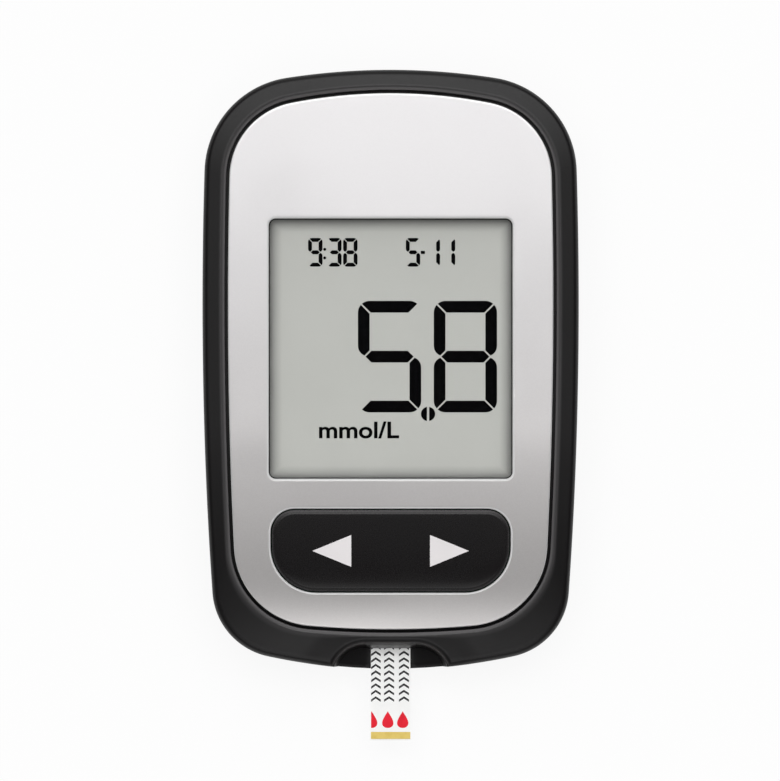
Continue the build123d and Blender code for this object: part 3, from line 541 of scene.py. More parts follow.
def moulded(name, colour, patch_colour, roughness, scale, patch_scale, height,
            specular=0.5, metallic=0.0, coat=0.0, highlit=None, shade=None):
    """Moulded or pressed finish: two near colours in soft patches, grain, uneven gloss. An optional
    paler colour is painted as a highlight where a piece's points carry one, and optional border
    values paint a dark grey shadow round a flat pane."""
    material, tree, shader = new_finish(name)
    grain = placed(tree, grain_group, Scale=scale, Patch_Scale=patch_scale)
    colour = mixed(tree, grain["Patch"], tone(*colour), tone(*patch_colour))
    if highlit:
        colour = mixed(tree, painted_highlight_share(tree), colour, tone(*highlit))
    # A dark grey border is a painted shadow round a flat pane.
    if shade:
        colour = mixed(tree, placed(tree, border_shadow_group, **shade)["Share"], tone(92, 92, 92), colour)
    if coat:
        feed(tree, shader.inputs, {"Coat Weight": coat, "Coat Roughness": 0.12})
    feed(tree, shader.inputs, {
        "Base Color": colour, "Roughness": map_range(tree, grain["Gloss"], 0.1, 0.45, *roughness),
        "Metallic": metallic, "Specular IOR Level": specular, "Normal": bumped(tree, grain["Height"], height),
    })
    return material


# %% [markdown]
# Nearly every finish is one kind: two near colours, grain and an uneven gloss. So they stand in
# one table, with the colours as screen levels: the two colours, the range of the roughness, the
# scales of the grain and of its patches, the height of the grain, and what else a finish has.

# %% Finishes
window_size = (31.26, 33.37)
window_at = (0.0, 2.76)
# A painted shadow of the window's walls, darkest at the border of the display pane.
pane_painted_shadow = {"Middle_Y": window_at[1], "Half_Width": 15.63, "Half_Height": 16.69, "Reach": 1.7}
metal = {"metallic": 1.0}
finish_table = {
    # The case's paler colour is a painted highlight on the rim's inner lip.
    "case_black": ((13, 11, 12), (11, 9, 10), (0.29, 0.37), 4200, 60, 0.008,
                   {"specular": 0.32, "highlit": (126, 124, 125)}),
    # The key's paler colour is a painted highlight on its upper rounding.
    "key_black": ((15, 12, 13), (12, 10, 11), (0.24, 0.32), 5200, 110, 0.0015,
                  {"specular": 0.3, "highlit": (100, 98, 99)}),
    "recess_black": ((34, 32, 31), (28, 27, 26), (0.5, 0.62), 5000, 300, 0.006, {"specular": 0.3}),
    "arrow_white": ((238, 234, 235), (233, 229, 230), (0.35, 0.45), 6000, 120, 0.004, {}),
    "holder_white": ((225, 224, 218), (216, 214, 207), (0.45, 0.6), 6000, 120, 0.006, {}),
    "contact_rubber": ((186, 160, 160), (60, 55, 58), (0.6, 0.75), 4000, 2200, 0.01, {}),
    "board_green": ((32, 92, 60), (24, 78, 50), (0.3, 0.45), 2500, 700, 0.01, {"coat": 0.3}),
    "chip_black": ((40, 40, 42), (52, 52, 54), (0.5, 0.7), 5000, 900, 0.01, {}),
    "part_ceramic": ((176, 156, 128), (150, 126, 96), (0.35, 0.5), 5000, 1500, 0.01, {}),
    "tin_plate": ((196, 196, 192), (176, 176, 174), (0.28, 0.42), 3000, 300, 0.006, metal),
    "spring_steel": ((200, 198, 190), (182, 178, 170), (0.2, 0.34), 3000, 500, 0.003, metal),
    "contact_gold": ((226, 188, 112), (214, 172, 92), (0.2, 0.32), 3000, 500, 0.003, metal),
    "screw_steel": ((168, 166, 162), (140, 138, 136), (0.25, 0.4), 3000, 700, 0.006, metal),
    "cell_steel": ((206, 205, 200), (190, 188, 184), (0.2, 0.32), 2600, 260, 0.004, metal),
    "cell_seal": ((48, 50, 54), (40, 42, 46), (0.5, 0.62), 5000, 600, 0.004, {}),
    "strip_white": ((255, 255, 254), (252, 252, 251), (0.4, 0.5), 5000, 500, 0.003, {}),
    "strip_yellow": ((232, 204, 108), (222, 192, 92), (0.35, 0.5), 5000, 900, 0.004, {}),
    "display_glass": ((150, 156, 150), (146, 152, 147), (0.05, 0.08), 5000, 400, 0.0005, {}),
    "display_film": ((196, 197, 192), (194, 195, 190), (0.55, 0.62), 5200, 90, 0.002,
                     {"specular": 0.2, "shade": pane_painted_shadow}),
    "display_reflector": ((190, 190, 186), (182, 182, 178), (0.4, 0.5), 4000, 300, 0.003, {"metallic": 0.6}),
    "segment_black": ((2, 2, 3), (4, 4, 5), (0.5, 0.6), 6000, 900, 0.001, {"specular": 0.0}),
    "print_black": ((30, 29, 31), (40, 39, 41), (0.4, 0.55), 6000, 1200, 0.002, {"specular": 0.3}),
    "print_red": ((238, 18, 46), (226, 14, 40), (0.4, 0.5), 6000, 900, 0.002, {"specular": 0.3}),
}
finish = {name: moulded(name, *row[:-1], **row[-1]) for name, row in finish_table.items()}
print(len(finish), "moulded and pressed finishes")


# %% Silver paint and clear acrylic
def silver_paint():
    """Satin silver paint: a metal ground with fine flake, with painted shade that darkens it towards
    the foot. The bevels, where the points carry a painted highlight, are painted pale, matt and not
    metallic, as a painted highlight."""
    material, tree, shader = new_finish("plate_silver")
    flake = placed(tree, flake_group, Scale=7000.0)
    foot_shade = placed(tree, foot_shade_group, Start=30.0, End=-30.0)
    grain = placed(tree, grain_group, Scale=5200.0, Patch_Scale=45.0)
    bevel_highlight = painted_highlight_share(tree)
    # Painted shade: the ground darkens from the top towards the foot.
    ground = mixed(tree, foot_shade["Share"], tone(238, 236, 237), tone(213, 210, 209))
    sparkle = mixed(tree, map_range(tree, flake["Light"], 0.0, 1.0, 0.0, 0.06), ground, tone(255, 255, 255))
    satin = map_range(tree, grain["Patch"], 0.0, 1.0, 0.28, 0.32)
    feed(tree, shader.inputs, {
        "Base Color": mixed(tree, bevel_highlight, sparkle, tone(222, 222, 222)),
        "Roughness": math_node(tree, "MAXIMUM", satin, bevel_highlight),
        "Metallic": map_range(tree, bevel_highlight, 0.0, 1.0, 0.85, 0.0),
        "Normal": bumped(tree, flake["Height"], 0.002, 0.15),
    })
    return material


def clear_pane():
    """Clear acrylic. Light that lies in shadow passes straight through, so the display under it
    is lit as through a real thin pane."""
    material, tree, shader = new_finish("lens_clear")
    grain = placed(tree, grain_group, Scale=300.0, Patch_Scale=60.0)
    feed(tree, shader.inputs, {
        "Base Color": mixed(tree, grain["Patch"], (1.0, 1.0, 1.0), (0.985, 0.99, 0.985)),
        "Roughness": map_range(tree, grain["Gloss"], 0.1, 0.4, 0.0, 0.03),
        "Transmission Weight": 1.0, "IOR": 1.49, "Specular IOR Level": 0.3,
    })
    rays = add(tree, "LightPath")
    unlit = math_node(tree, "MAXIMUM", rays["Is Shadow Ray"], rays["Is Diffuse Ray"])
    unbent = math_node(tree, "MAXIMUM", unlit, rays["Is Glossy Ray"])
    through = add(tree, "BsdfTransparent")[0]
    either = add(tree, "MixShader", {0: unbent, 1: shader.outputs[0], 2: through})[0]
    feed(tree, tree.nodes["Material Output"].inputs, {"Surface": either})
    return material


finish["plate_silver"] = silver_paint()
finish["lens_clear"] = clear_pane()
for name, thing in nodes.items():
    thing.data.materials.clear()
    thing.data.materials.append(finish[slot_of[name]])
print(len(finish), "finishes on", len(nodes), "nodes")

# %% [markdown]
# The case front is one moulded ring. Its profile goes up the outer wall, round the rim, over a
# soft inner lip and down to the deck under the silver plate. At the foot the outline turns
# inwards round the thumb notch of the strip port, so every level of the loft is a notched
# outline, and the rounding grows tighter where it reaches the notch.

# %% Notched case outline
parting_z = 7.0
notch_rounding = 0.75
notch_half, notch_depth, notch_top_radius = 3.2, 3.4, 4.5
notch_wall, notch_margin = 1.3, 0.4
notch_share = 18
notch_top_y = case_arcs["bottom"] + notch_depth
notch_y = notch_top_y - notch_top_radius
notch_top_z = float(front_height(notch_top_y))
notch_draft = math.tan(math.radians(8.0))
slot_half, slot_height = 3.15, 0.8
slot_x = np.concatenate([np.linspace(-slot_half, slot_half, notch_share), [notch_half]])


def shrunk(shape, inset):
    """Outline moved inwards. Every arc keeps its centre and loses the inset from its radius."""
    smaller = {key: size if key == "side_y" else size - inset for key, size in shape.items()}
    return smaller | {"bottom": shape["bottom"] + inset}


def notched_loop(inset, growth, height):
    """Case outline with the notch cut out of its foot, its normals, and which points are the
    notch's. inset moves the outline inwards, growth widens the notch, and height sets how far
    its draft has opened it. The foot arc and the notch's round ends meet where they cross."""
    shape = shrunk(case_arcs, inset)
    centres, radii = sides_of(shape)[:2]
    wide = notch_top_radius + growth + (height - notch_top_z) * notch_draft
    left, right = (-notch_half, notch_y), (notch_half, notch_y)
    left_cross = meet(left, wide, centres[3], radii[3], (-1, 0))
    right_cross = meet(right, wide, centres[3], radii[3], (1, 0))
    stretches = outline_stretches(shape, (bearing(centres[3], left_cross), bearing(centres[3], right_cross)))
    left_turn = arc(left, wide, math.pi / 2, bearing(left, left_cross), notch_share)
    right_turn = arc(right, wide, bearing(right, right_cross), math.pi / 2, notch_share)
    over = [
        (left_cross[None, :], (left - left_cross)[None, :] / wide),
        (left_turn[0][::-1], -left_turn[1][::-1]),
        (np.column_stack([slot_x, np.full(len(slot_x), notch_y + wide)]), np.repeat([[0.0, -1.0]], len(slot_x), 0)),
        (right_turn[0][::-1], -right_turn[1][::-1]),
    ]
    where = stretches.index("notch")
    owners = [0] * where + [1] * len(over) + [0] * (len(stretches) - where - 1)
    stretches[where:where + 1] = over
    mask = np.repeat(owners, [len(points) for points, _ in stretches]).astype(bool)
    return *join(stretches), mask


def plate_loop(offset):
    """Plate outline with as many points as the notched case outline, point for point: the part
    of its bottom arc over the notch takes the notch's share of points."""
    centres, radii = sides_of(plate_arcs)[:2]
    half_turn = math.asin((notch_half + notch_top_radius + notch_margin) / radii[3])
    cut = (-math.pi / 2 - half_turn, -math.pi / 2 + half_turn)
    stretches = outline_stretches(plate_arcs, cut)
    stretches[stretches.index("notch")] = arc(centres[3], radii[3], *cut, int(in_notch.sum()))
    return moved(join(stretches), offset)


probe, _, in_notch = notched_loop(0.0, 0.0, parting_z)
print("case outline has", len(probe), "points,", int(in_notch.sum()), "of them round the notch")

# %% Wall and rim
rim_rounding, rim_inset, rim_crown = 1.5, 0.6, 0.4
edge_share = 0.48
blend_reach, far_off = 5.0, 100.0

in_slot = in_notch & (np.abs(probe[:, 0]) < slot_half + 0.01)
foot_level = np.where(in_slot, parting_z + slot_height, parting_z)
notch_ends = probe[in_notch][[0, -1], 0]
foot_distance = np.abs(probe[:, :1] - notch_ends).min(1)
ease = smooth_step(np.where(probe[:, 1] > 0, far_off, foot_distance), 0, blend_reach)
rounding = np.where(in_notch, notch_rounding, notch_rounding + (rim_rounding - notch_rounding) * ease)
crown = np.where(in_notch, 0.0, rim_crown * ease)


def wall_rows():
    """Rows of the outer wall and the rim's rounding, each a notched outline with a height per
    point. For a from 0 to 90, the rounding's inset is i(1 - cos a) and its drop (r - c)(1 - sin a)
    plus the rim's own fall c(1 - s), where s = e(1 - cos a) is the share of the rim crossed."""
    rows = []
    for share in (0.0, 0.12, 0.5, 1.0):
        points = notched_loop(0.0, 0.0, parting_z + share * (notch_top_z - notch_rounding - parting_z))[0]
        top = front_height(points[:, 1]) - rounding
        rows.append(raised(points, foot_level + share * (top - foot_level)))
    for turn in np.radians(np.linspace(0, 90, 11))[1:]:
        inset, fall = 1 - math.cos(turn), 1 - math.sin(turn)
        points, normals, _ = notched_loop(notch_rounding * inset, notch_rounding * inset, notch_top_z)
        extra = np.where(in_notch, 0.0, (rim_inset - notch_rounding) * ease * inset)
        points = points - extra[:, None] * normals
        drop = (rounding - crown) * fall + crown * (1 - edge_share * inset)
        rows.append(raised(points, front_height(points[:, 1]) - drop))
    return rows


wall = wall_rows()
print("wall and rounding have", len(wall), "rows of", len(probe), "points")

# %% Case front
case_wall = 1.5
plate_gap, plate_thickness = 0.42, 1.0
# The inner lip carries a painted highlight, lightest at its edge.
lip_rounding, lip_highlight, lip_highlight_end = 0.6, 0.12, 1.2
groove_depth, ledge_reach = 0.7, 0.1
deck_thickness, deck_reach = 1.4, 3.0


def lip_rows():
    """Rows of the inner lip with the painted highlight of each: offset g + r(1 - sin a) from the
    plate, and drop r(1 - cos a)."""
    rows = []
    for turn in np.radians(np.linspace(0, 90, 9)):
        loop = plate_loop(plate_gap + lip_rounding * (1 - math.sin(turn)))
        highlit = lip_highlight + (1 - lip_highlight) * math.sin(turn) ** 2 if turn < lip_highlight_end else 0.0
        rows.append((raised(loop, front_height(loop[:, 1]) - lip_rounding * (1 - math.cos(turn))), highlit))
    return rows


def crown_rows(rim_edge, lip_edge):
    """Rows across the rim from one edge to the other, with the painted highlight of each. The rest
    of the rim's fall is c(1 - e)(1 - s) at the share s of the way."""
    rows = []
    for share, highlit in ((0.15, 0.0), (0.5, 0.0), (0.85, 0.0), (0.97, 0.08)):
        flat = (rim_edge + share * (lip_edge - rim_edge))[:, :2]
        rows.append((raised(flat, front_height(flat[:, 1]) - crown * (1 - edge_share) * (1 - share)), highlit))
    return rows


lip = lip_rows()
profile = [(row, 0.0) for row in wall] + crown_rows(wall[-1], lip[0][0]) + lip
groove_drop, deck_drop = plate_thickness + groove_depth, plate_thickness + deck_thickness
for offset, drop in ((plate_gap, groove_drop), (-ledge_reach, groove_drop), (-ledge_reach, plate_thickness),
                     (-deck_reach, plate_thickness), (-deck_reach, deck_drop)):
    loop = plate_loop(offset)
    profile.append((raised(loop, front_height(loop[:, 1], drop)), 0.0))
inner = notched_loop(case_wall, notch_wall, notch_top_z)[0]
profile.append((raised(inner, front_height(inner[:, 1], deck_drop)), 0.0))
profile.append((raised(notched_loop(case_wall, notch_wall, parting_z)[0], foot_level), 0.0))
rows, painted_highlight = zip(*profile)
case_front = skin("case_front", np.concatenate(rows), band_faces(len(rows), len(probe), True),
                  painted_highlight=np.repeat(painted_highlight, len(probe)))
dress(case_front, "housing", finish["case_black"], ["front_frame"])

# %% Scoop floor
scoop_low_z, scoop_flat, scoop_end, scoop_rise = 6.6, 2.8, 8.6, 2.3
scoop_front_inset, scoop_overlap, scoop_lift = 0.12, 0.3, 0.02
scoop_edge_depth, scoop_edge_reach = 0.35, 0.5


def scoop_height(x):
    """Floor of the thumb scoop: flat beside the strip, then a smooth rise towards each end."""
    share = np.clip((np.abs(x) - scoop_flat) / (scoop_end - scoop_flat), 0, 1)
    return parting_z + scoop_lift + scoop_rise * share**1.15


def slab(upper, low):
    """Closed slab from a grid of points (rows, columns, 3) down to a flat underside."""
    size_y, size_x = upper.shape[:2]
    index = np.arange(size_x * size_y).reshape(size_y, size_x)
    cells = np.stack([index[:-1, :-1], index[:-1, 1:], index[1:, 1:], index[1:, :-1]], -1).reshape(-1, 4)
    rim = np.concatenate([index[0, :-1], index[:-1, -1], index[-1, :0:-1], index[:0:-1, 0]])
    beside, under = np.roll(rim, -1), index.size
    walls = np.stack([rim + under, beside + under, beside, rim], -1)
    top = upper.reshape(-1, 3)
    return np.concatenate([top, raised(top[:, :2], low)]), np.concatenate([cells, cells[:, ::-1] + under, walls])


across = np.linspace(-scoop_end, scoop_end, 61)
foot_radius = case_arcs["bottom_radius"]
front_y = case_arcs["bottom"] + foot_radius - np.sqrt((foot_radius - scoop_front_inset) ** 2 - across**2)
deep = np.linspace(0, 1, 25)[:, None]
grid_y = front_y + deep * (notch_top_y + scoop_overlap - front_y)
grid_x = np.repeat(across[None, :], len(deep), 0)
edge_round = scoop_edge_depth * np.maximum(1 - (grid_y - front_y) / scoop_edge_reach, 0) ** 2
scoop = slab(np.stack([grid_x, grid_y, scoop_height(grid_x) - edge_round], -1), scoop_low_z)
dress(skin("scoop_floor", *scoop), "housing", finish["case_black"], ["back_housing"])

# %% [markdown]
# The silver plate is a thin sheet with a window and a key opening. Its top is two patches that
# meet on a line between the openings. Each patch is a set of rays from the middle of its
# opening, from the opening's edge to the outer edge, and both patches use the same points on
# the line, so the sheet closes.


# %% Openings of the plate
def rounded_box(centre, width, height, corner_top, corner_bottom, straight_steps=16, turn_steps=14):
    """Rounded rectangle loop, anticlockwise from the lower end of its right side. Side k leads
    to the corner k, whose arc turns on from k right angles."""
    radii = (corner_top, corner_top, corner_bottom, corner_bottom)
    middles = [np.array(centre) + (x * (width / 2 - radius), y * (height / 2 - radius))
               for radius, (x, y) in zip(radii, ((1, 1), (-1, 1), (-1, -1), (1, -1)))]
    stretches = []
    for k in range(4):
        turn = k * math.pi / 2
        out = np.array((math.cos(turn), math.sin(turn)))
        steps = straight_steps if k % 2 else straight_steps // 2
        stretches.append(straight(middles[k - 1] + radii[k - 1] * out, middles[k] + radii[k] * out, steps))
        stretches.append(arc(middles[k], radii[k], turn, turn + math.pi / 2, turn_steps))
    return join(stretches)


key_size = (30.8, 10.8)
key_at = (0.0, -23.18)
window_corner, key_corners = 0.9, (3.07, 5.9)
window_loop = rounded_box(window_at, *window_size, window_corner, window_corner)
key_loop = rounded_box(key_at, *key_size, *key_corners)
openings = [(window_at, window_loop), (key_at, key_loop)]
split_y = (window_at[1] - window_size[1] / 2 + key_at[1] + key_size[1] / 2) / 2
print("patches meet at y =", round(split_y, 2), "mm")


# %% Rays across the plate
def turns_of(points, centre):
    """Bearing of each point from a centre, from 0 to one turn."""
    return np.arctan2(points[:, 1] - centre[1], points[:, 0] - centre[0]) % (2 * np.pi)


def ray_hits(loop, centre, angles):
    """Where rays from a centre meet a closed loop, with the loop's normals there. On the bit
    from p to q the distance is cross(p, q - p) / cross(ray, q - p)."""
    turns = turns_of(loop[0], centre)
    order = np.argsort(turns)
    shifted, turns, normals = (loop[0] - np.array(centre))[order], turns[order], loop[1][order]
    index = np.searchsorted(turns, angles + 1e-9) - 1
    after = (index + 1) % len(shifted)
    p, bit = shifted[index], shifted[after] - shifted[index]
    ray = np.stack([np.cos(angles), np.sin(angles)], 1)
    distance = (p[:, 0] * bit[:, 1] - p[:, 1] * bit[:, 0]) / (ray[:, 0] * bit[:, 1] - ray[:, 1] * bit[:, 0])
    hits = distance[:, None] * ray
    share = np.linalg.norm(hits - p, axis=1) / np.maximum(np.linalg.norm(bit, axis=1), 1e-9)
    blend = normals[index] + share[:, None] * (normals[after] - normals[index])
    return hits + np.array(centre), blend / np.linalg.norm(blend, axis=1)[:, None]


print("a ray at 45 degrees leaves the window at", ray_hits(window_loop, window_at, np.array([math.pi / 4]))[0].round(2))


# %% Seam between the patches
def seam_points(outline, holes):
    """Points on the split line that both patches share: even steps, and the rays through the
    corners of each opening, so that no opening loses its shape."""
    right = outline[0][outline[0][:, 0] > 0]
    right = right[np.argsort(right[:, 1])]
    reach = float(np.interp(split_y, right[:, 1], right[:, 0]))
    across = [np.linspace(-reach, reach, 49)]
    for centre, hole in holes:
        near = hole[0][(hole[0][:, 1] - centre[1]) * (split_y - centre[1]) > 0]
        hit = centre[0] + (near[:, 0] - centre[0]) * (split_y - centre[1]) / (near[:, 1] - centre[1])
        across.append(hit[np.abs(hit) < reach])
    across = np.unique(np.concatenate(across).round(3))
    across = across[np.concatenate([[True], np.diff(across) > 0.02])]
    across[0], across[-1] = -reach, reach
    return np.column_stack([across, np.full(len(across), split_y)])


def patch_columns(outline, seam, hole, centre, upper):
    """Near and far end of each ray of one patch, with normals, and which far ends lie on the
    seam. Seam points have no outward normal except at the two ends of the seam."""
    side = outline[0][:, 1] > split_y + 0.01 if upper else outline[0][:, 1] < split_y - 0.01
    flat = np.zeros((len(seam), 2))
    flat[0], flat[-1] = (-1, 0), (1, 0)
    seam_turns, hole_turns = turns_of(seam, centre), turns_of(hole[0], centre)
    toward_seam = (hole_turns - seam_turns.min()) * (seam_turns.max() - hole_turns) >= 0
    free = np.concatenate([hole_turns[~toward_seam], turns_of(outline[0][side], centre)])
    gap = np.abs(free[:, None] - seam_turns[None, :]).min(1)
    angles = np.concatenate([seam_turns, free[gap > 1e-3]])
    on_seam = np.arange(len(angles)) < len(seam_turns)
    order = np.argsort(angles)
    angles, on_seam = angles[order], on_seam[order]
    keep = np.concatenate([[True], np.diff(angles) > 5e-4]) | on_seam
    angles, on_seam = angles[keep], on_seam[keep]
    lines = np.where(np.abs(flat).max(1)[:, None] > 0, flat, (0.0, 1e-6))
    border = np.concatenate([outline[0][side], seam]), np.concatenate([outline[1][side], lines])
    near, near_normals = ray_hits(hole, centre, angles)
    far, far_normals = ray_hits(border, centre, angles)
    match = np.abs(angles[on_seam][:, None] - seam_turns[None, :]).argmin(1)
    far[on_seam], far_normals[on_seam] = seam[match], flat[match]
    return near, near_normals, far, far_normals, on_seam


seam = seam_points(plate_outline, openings)
print("seam has", len(seam), "points")

# %% Face plate
plate_bevel, opening_bevel = 0.16, 0.28
crisp = 0.1
plate_roll = (-26.5, -33.3, 0.2)
bend = np.radians(np.linspace(0, 90, 6))


def sheet_section():
    """Rows of the sheet's section: share of the way out, growth of the opening's edge, inset of
    the outer edge, drop, and painted highlight. It runs over the top, down the outer wall with its
    bevel b(1 - sin a), b(1 - cos a), back along the underside and up the opening's wall. Both
    bevels carry a painted highlight, apart from the outer one's first row."""
    rows = [(0, opening_bevel, plate_bevel, 0.0, 0.0)]
    rows += [(share, opening_bevel + crisp, plate_bevel + crisp, 0.0, 0.0) for share in np.linspace(0, 1, 15)]
    rows.append((1, opening_bevel, plate_bevel, 0.0, 0.0))
    for turn in bend[1:]:
        cut = plate_bevel * (1 - math.sin(turn)), plate_bevel * (1 - math.cos(turn))
        rows.append((1, 0.0, *cut, float(turn > bend[1])))
    rows += [(share, 0.0, 0.0, plate_thickness, 0.0) for share in (1, 0.5, 0)]
    for turn in bend[:0:-1]:
        rows.append((0, opening_bevel * (1 - math.sin(turn)), 0.0, opening_bevel * (1 - math.cos(turn)), 1.0))
    return rows


def plate_patch(columns, rows):
    """Closed sheet of one patch. Walls along the seam are left out, because the two patches
    meet there."""
    near, near_normals, far, far_normals, on_seam = columns
    points = []
    for share, growth, inset, drop, _ in rows:
        start, end = near + growth * near_normals, far - inset * far_normals
        flat = start + share * (end - start)
        points.append(raised(flat, front_height(flat[:, 1], drop) - roll_off(flat[:, 1], *plate_roll)))
    faces = band_faces(len(rows), len(near), True)
    row, column = np.divmod(np.arange(len(faces)), len(near))
    outer = np.array([entry[0] for entry in rows]) == 1
    outer_wall = outer[row] & outer[(row + 1) % len(rows)]
    both = on_seam[column] & on_seam[(column + 1) % len(near)]
    return np.concatenate(points), faces[~(outer_wall & both)]


section = sheet_section()
patches, painted_highlight = [], []
for (centre, hole), upper in zip(openings, (True, False)):
    columns = patch_columns(plate_outline, seam, hole, centre, upper)
    patches.append(plate_patch(columns, section))
    painted_highlight.append(np.repeat([row[-1] for row in section], len(columns[0])))
silver_plate = skin("silver_plate", *together(patches), painted_highlight=np.concatenate(painted_highlight))
dress(silver_plate, "housing", finish["plate_silver"], ["face_plate"])


# %% Window frame
def box_ring(outer, inner, low, high):
    """Closed ring with a square section between two flat loops of equal count."""
    rows = [raised(inner, low), raised(outer, low), raised(outer, high), raised(inner, high)]
    return np.concatenate(rows), band_faces(4, len(outer), True)


clearance, frame_margin, frame_corner = 0.01, 1.3, 1.2
frame_reveal, ledge_overlap, ledge_lift = 0.02, 0.12, 0.04
lens_low, lens_high = (corner.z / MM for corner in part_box("display_lens"))
display_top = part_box("display_polariser")[1].z / MM
frame_size = [size + 2 * frame_margin for size in window_size]
frame_outer = rounded_box(window_at, *frame_size, frame_corner, frame_corner)[0]
under_plate = front_top_z - plate_thickness - clearance
rings = [
    box_ring(frame_outer, moved(window_loop, frame_reveal), lens_high + clearance, under_plate),
    box_ring(frame_outer, moved(window_loop, -ledge_overlap), display_top + ledge_lift, lens_low - clearance),
]
dress(skin("window_frame", *together(rings)), "housing", finish["recess_black"], ["front_frame"])

# %% [markdown]
# The rocker key is one piece of smooth dark plastic. Its cap is a loft of rounded rectangles
# that closes towards a line along its middle. The rounding along its upper edge is wide, which
# is what catches the light above the arrows, and a painted highlight on the rounding, greatest
# along the upper edge, adds to it.

# %% Rocker key
key_gap, key_proud, key_top_rounding = 0.15, 0.28, 0.6
key_roll = (-25.0, -28.6, 0.18)
key_spine_half = 10.0
key_wall_depths = (2.6, 1.2)
key_underside_drop = 2.32
# Painted highlight on the key's rounding: a share on every side, more along the upper edge.
key_side_highlight, key_top_highlight = 0.22, 0.78
key_outline = moved(key_loop, -key_gap), key_loop[1]


def key_row(flat, drop=0.0):
    """Flat points lifted to the top of the cap, less a drop. The cap stands a little proud of
    the front and is softly rolled off along its foot."""
    return raised(flat, front_height(flat[:, 1]) + key_proud - roll_off(flat[:, 1], *key_roll) - drop)


def spine_of(edge):
    """The point of the cap's middle line that faces each point of its edge."""
    return np.column_stack([np.clip(edge[:, 0], -key_spine_half, key_spine_half), np.full(len(edge), key_at[1])])


def key_rows():
    """Rows of the cap from the middle of its underside up the wall, over the rounding, and in to
    its middle line, with the painted highlight of each point. On the rounding the inset is
    r(1 - cos a) and the drop r(1 - sin a). The painted highlight falls off with the inset and is
    greatest along the upper edge, which faces the light."""
    edge, plain = key_outline[0], np.zeros(len(key_outline[0]))
    spine = spine_of(edge)
    rows = [(raised(spine, front_height(spine[:, 1]) - key_underside_drop), plain)]
    rows += [(key_row(edge, depth), plain) for depth in key_wall_depths]
    upward = key_side_highlight + key_top_highlight * np.maximum(key_outline[1][:, 1], 0) ** 2
    for turn in np.radians(np.linspace(0, 90, 9)):
        edge = moved(key_outline, -key_top_rounding * (1 - math.cos(turn)))
        rows.append((key_row(edge, key_top_rounding * (1 - math.sin(turn))), upward * math.cos(turn) ** 1.5))
    for share in (0.15, 0.35, 0.6, 0.85, 1.0):
        rows.append((key_row(edge + share * (spine_of(edge) - edge)), plain))
    return rows


rows, painted_highlight = zip(*key_rows())
key_cap = skin("key_cap", np.concatenate(rows), band_faces(len(rows), len(rows[0])), painted_highlight=np.concatenate(painted_highlight))
dress(key_cap, "rocker", finish["key_black"], ["rocker_key"])

# %% [markdown]
# The figures of the display and the print on the strip are thin closed plates with rounded
# corners, laid on the surface that carries them. A display digit is seven bars whose ends are
# mitred at 45 degrees and kept a little apart, as the printed electrodes of a real one are.


# %% Thin prints
def bow(start, pull, end, steps):
    """Curves from A to B that bend towards P: (1-u)^2 A + 2u(1-u) P + u^2 B."""
    start, pull, end = (np.asarray(point, float)[..., None, :] for point in (start, pull, end))
    u = np.linspace(0, 1, steps)[:, None]
    return ((1 - u) ** 2 * start + 2 * u * (1 - u) * pull + u**2 * end).reshape(-1, 2)


def soft_corners(corners, reach):
    """Polygon whose corners are rounded from reach before each to reach after it, at most 0.45
    of the shorter side."""
    corners = np.asarray(corners, float)
    ways = [np.roll(corners, step, 0) - corners for step in (1, -1)]
    lengths = [np.linalg.norm(way, axis=1)[:, None] for way in ways]
    cut = np.minimum(reach, 0.45 * np.minimum(*lengths))
    first, last = (corners + way / length * cut for way, length in zip(ways, lengths))
    return bow(first, corners, last, 6)


def thin_prints(name, shapes, low, thickness):
    """One mesh of closed flat plates, one for each anticlockwise outline in shapes."""
    points, faces, start = [], [], 0
    for shape in shapes:
        count = len(shape)
        points += [raised(shape, low), raised(shape, low + thickness)]
        faces.append((start + np.arange(count))[::-1].tolist())
        faces.append((start + count + np.arange(count)).tolist())
        faces += (band_faces(2, count) + start).tolist()
        start += 2 * count
    mesh = bpy.data.meshes.new(name)
    mesh.from_pydata((np.concatenate(points) * MM).tolist(), [], faces)
    return in_scene(name, mesh)


print("a softened square has", len(soft_corners([(0, 0), (1, 0), (1, 1), (0, 1)], 0.1)), "points")

# %% Digit bars
tip_share, bow_start, bow_pull = 0.56, 0.95, 0.35


def flipped(bar, width=None, height=None):
    """Bar mirrored across the middle of a width or a height, still anticlockwise."""
    x, y = bar[::-1].T
    return np.column_stack([x if width is None else width - x, y if height is None else height - y])


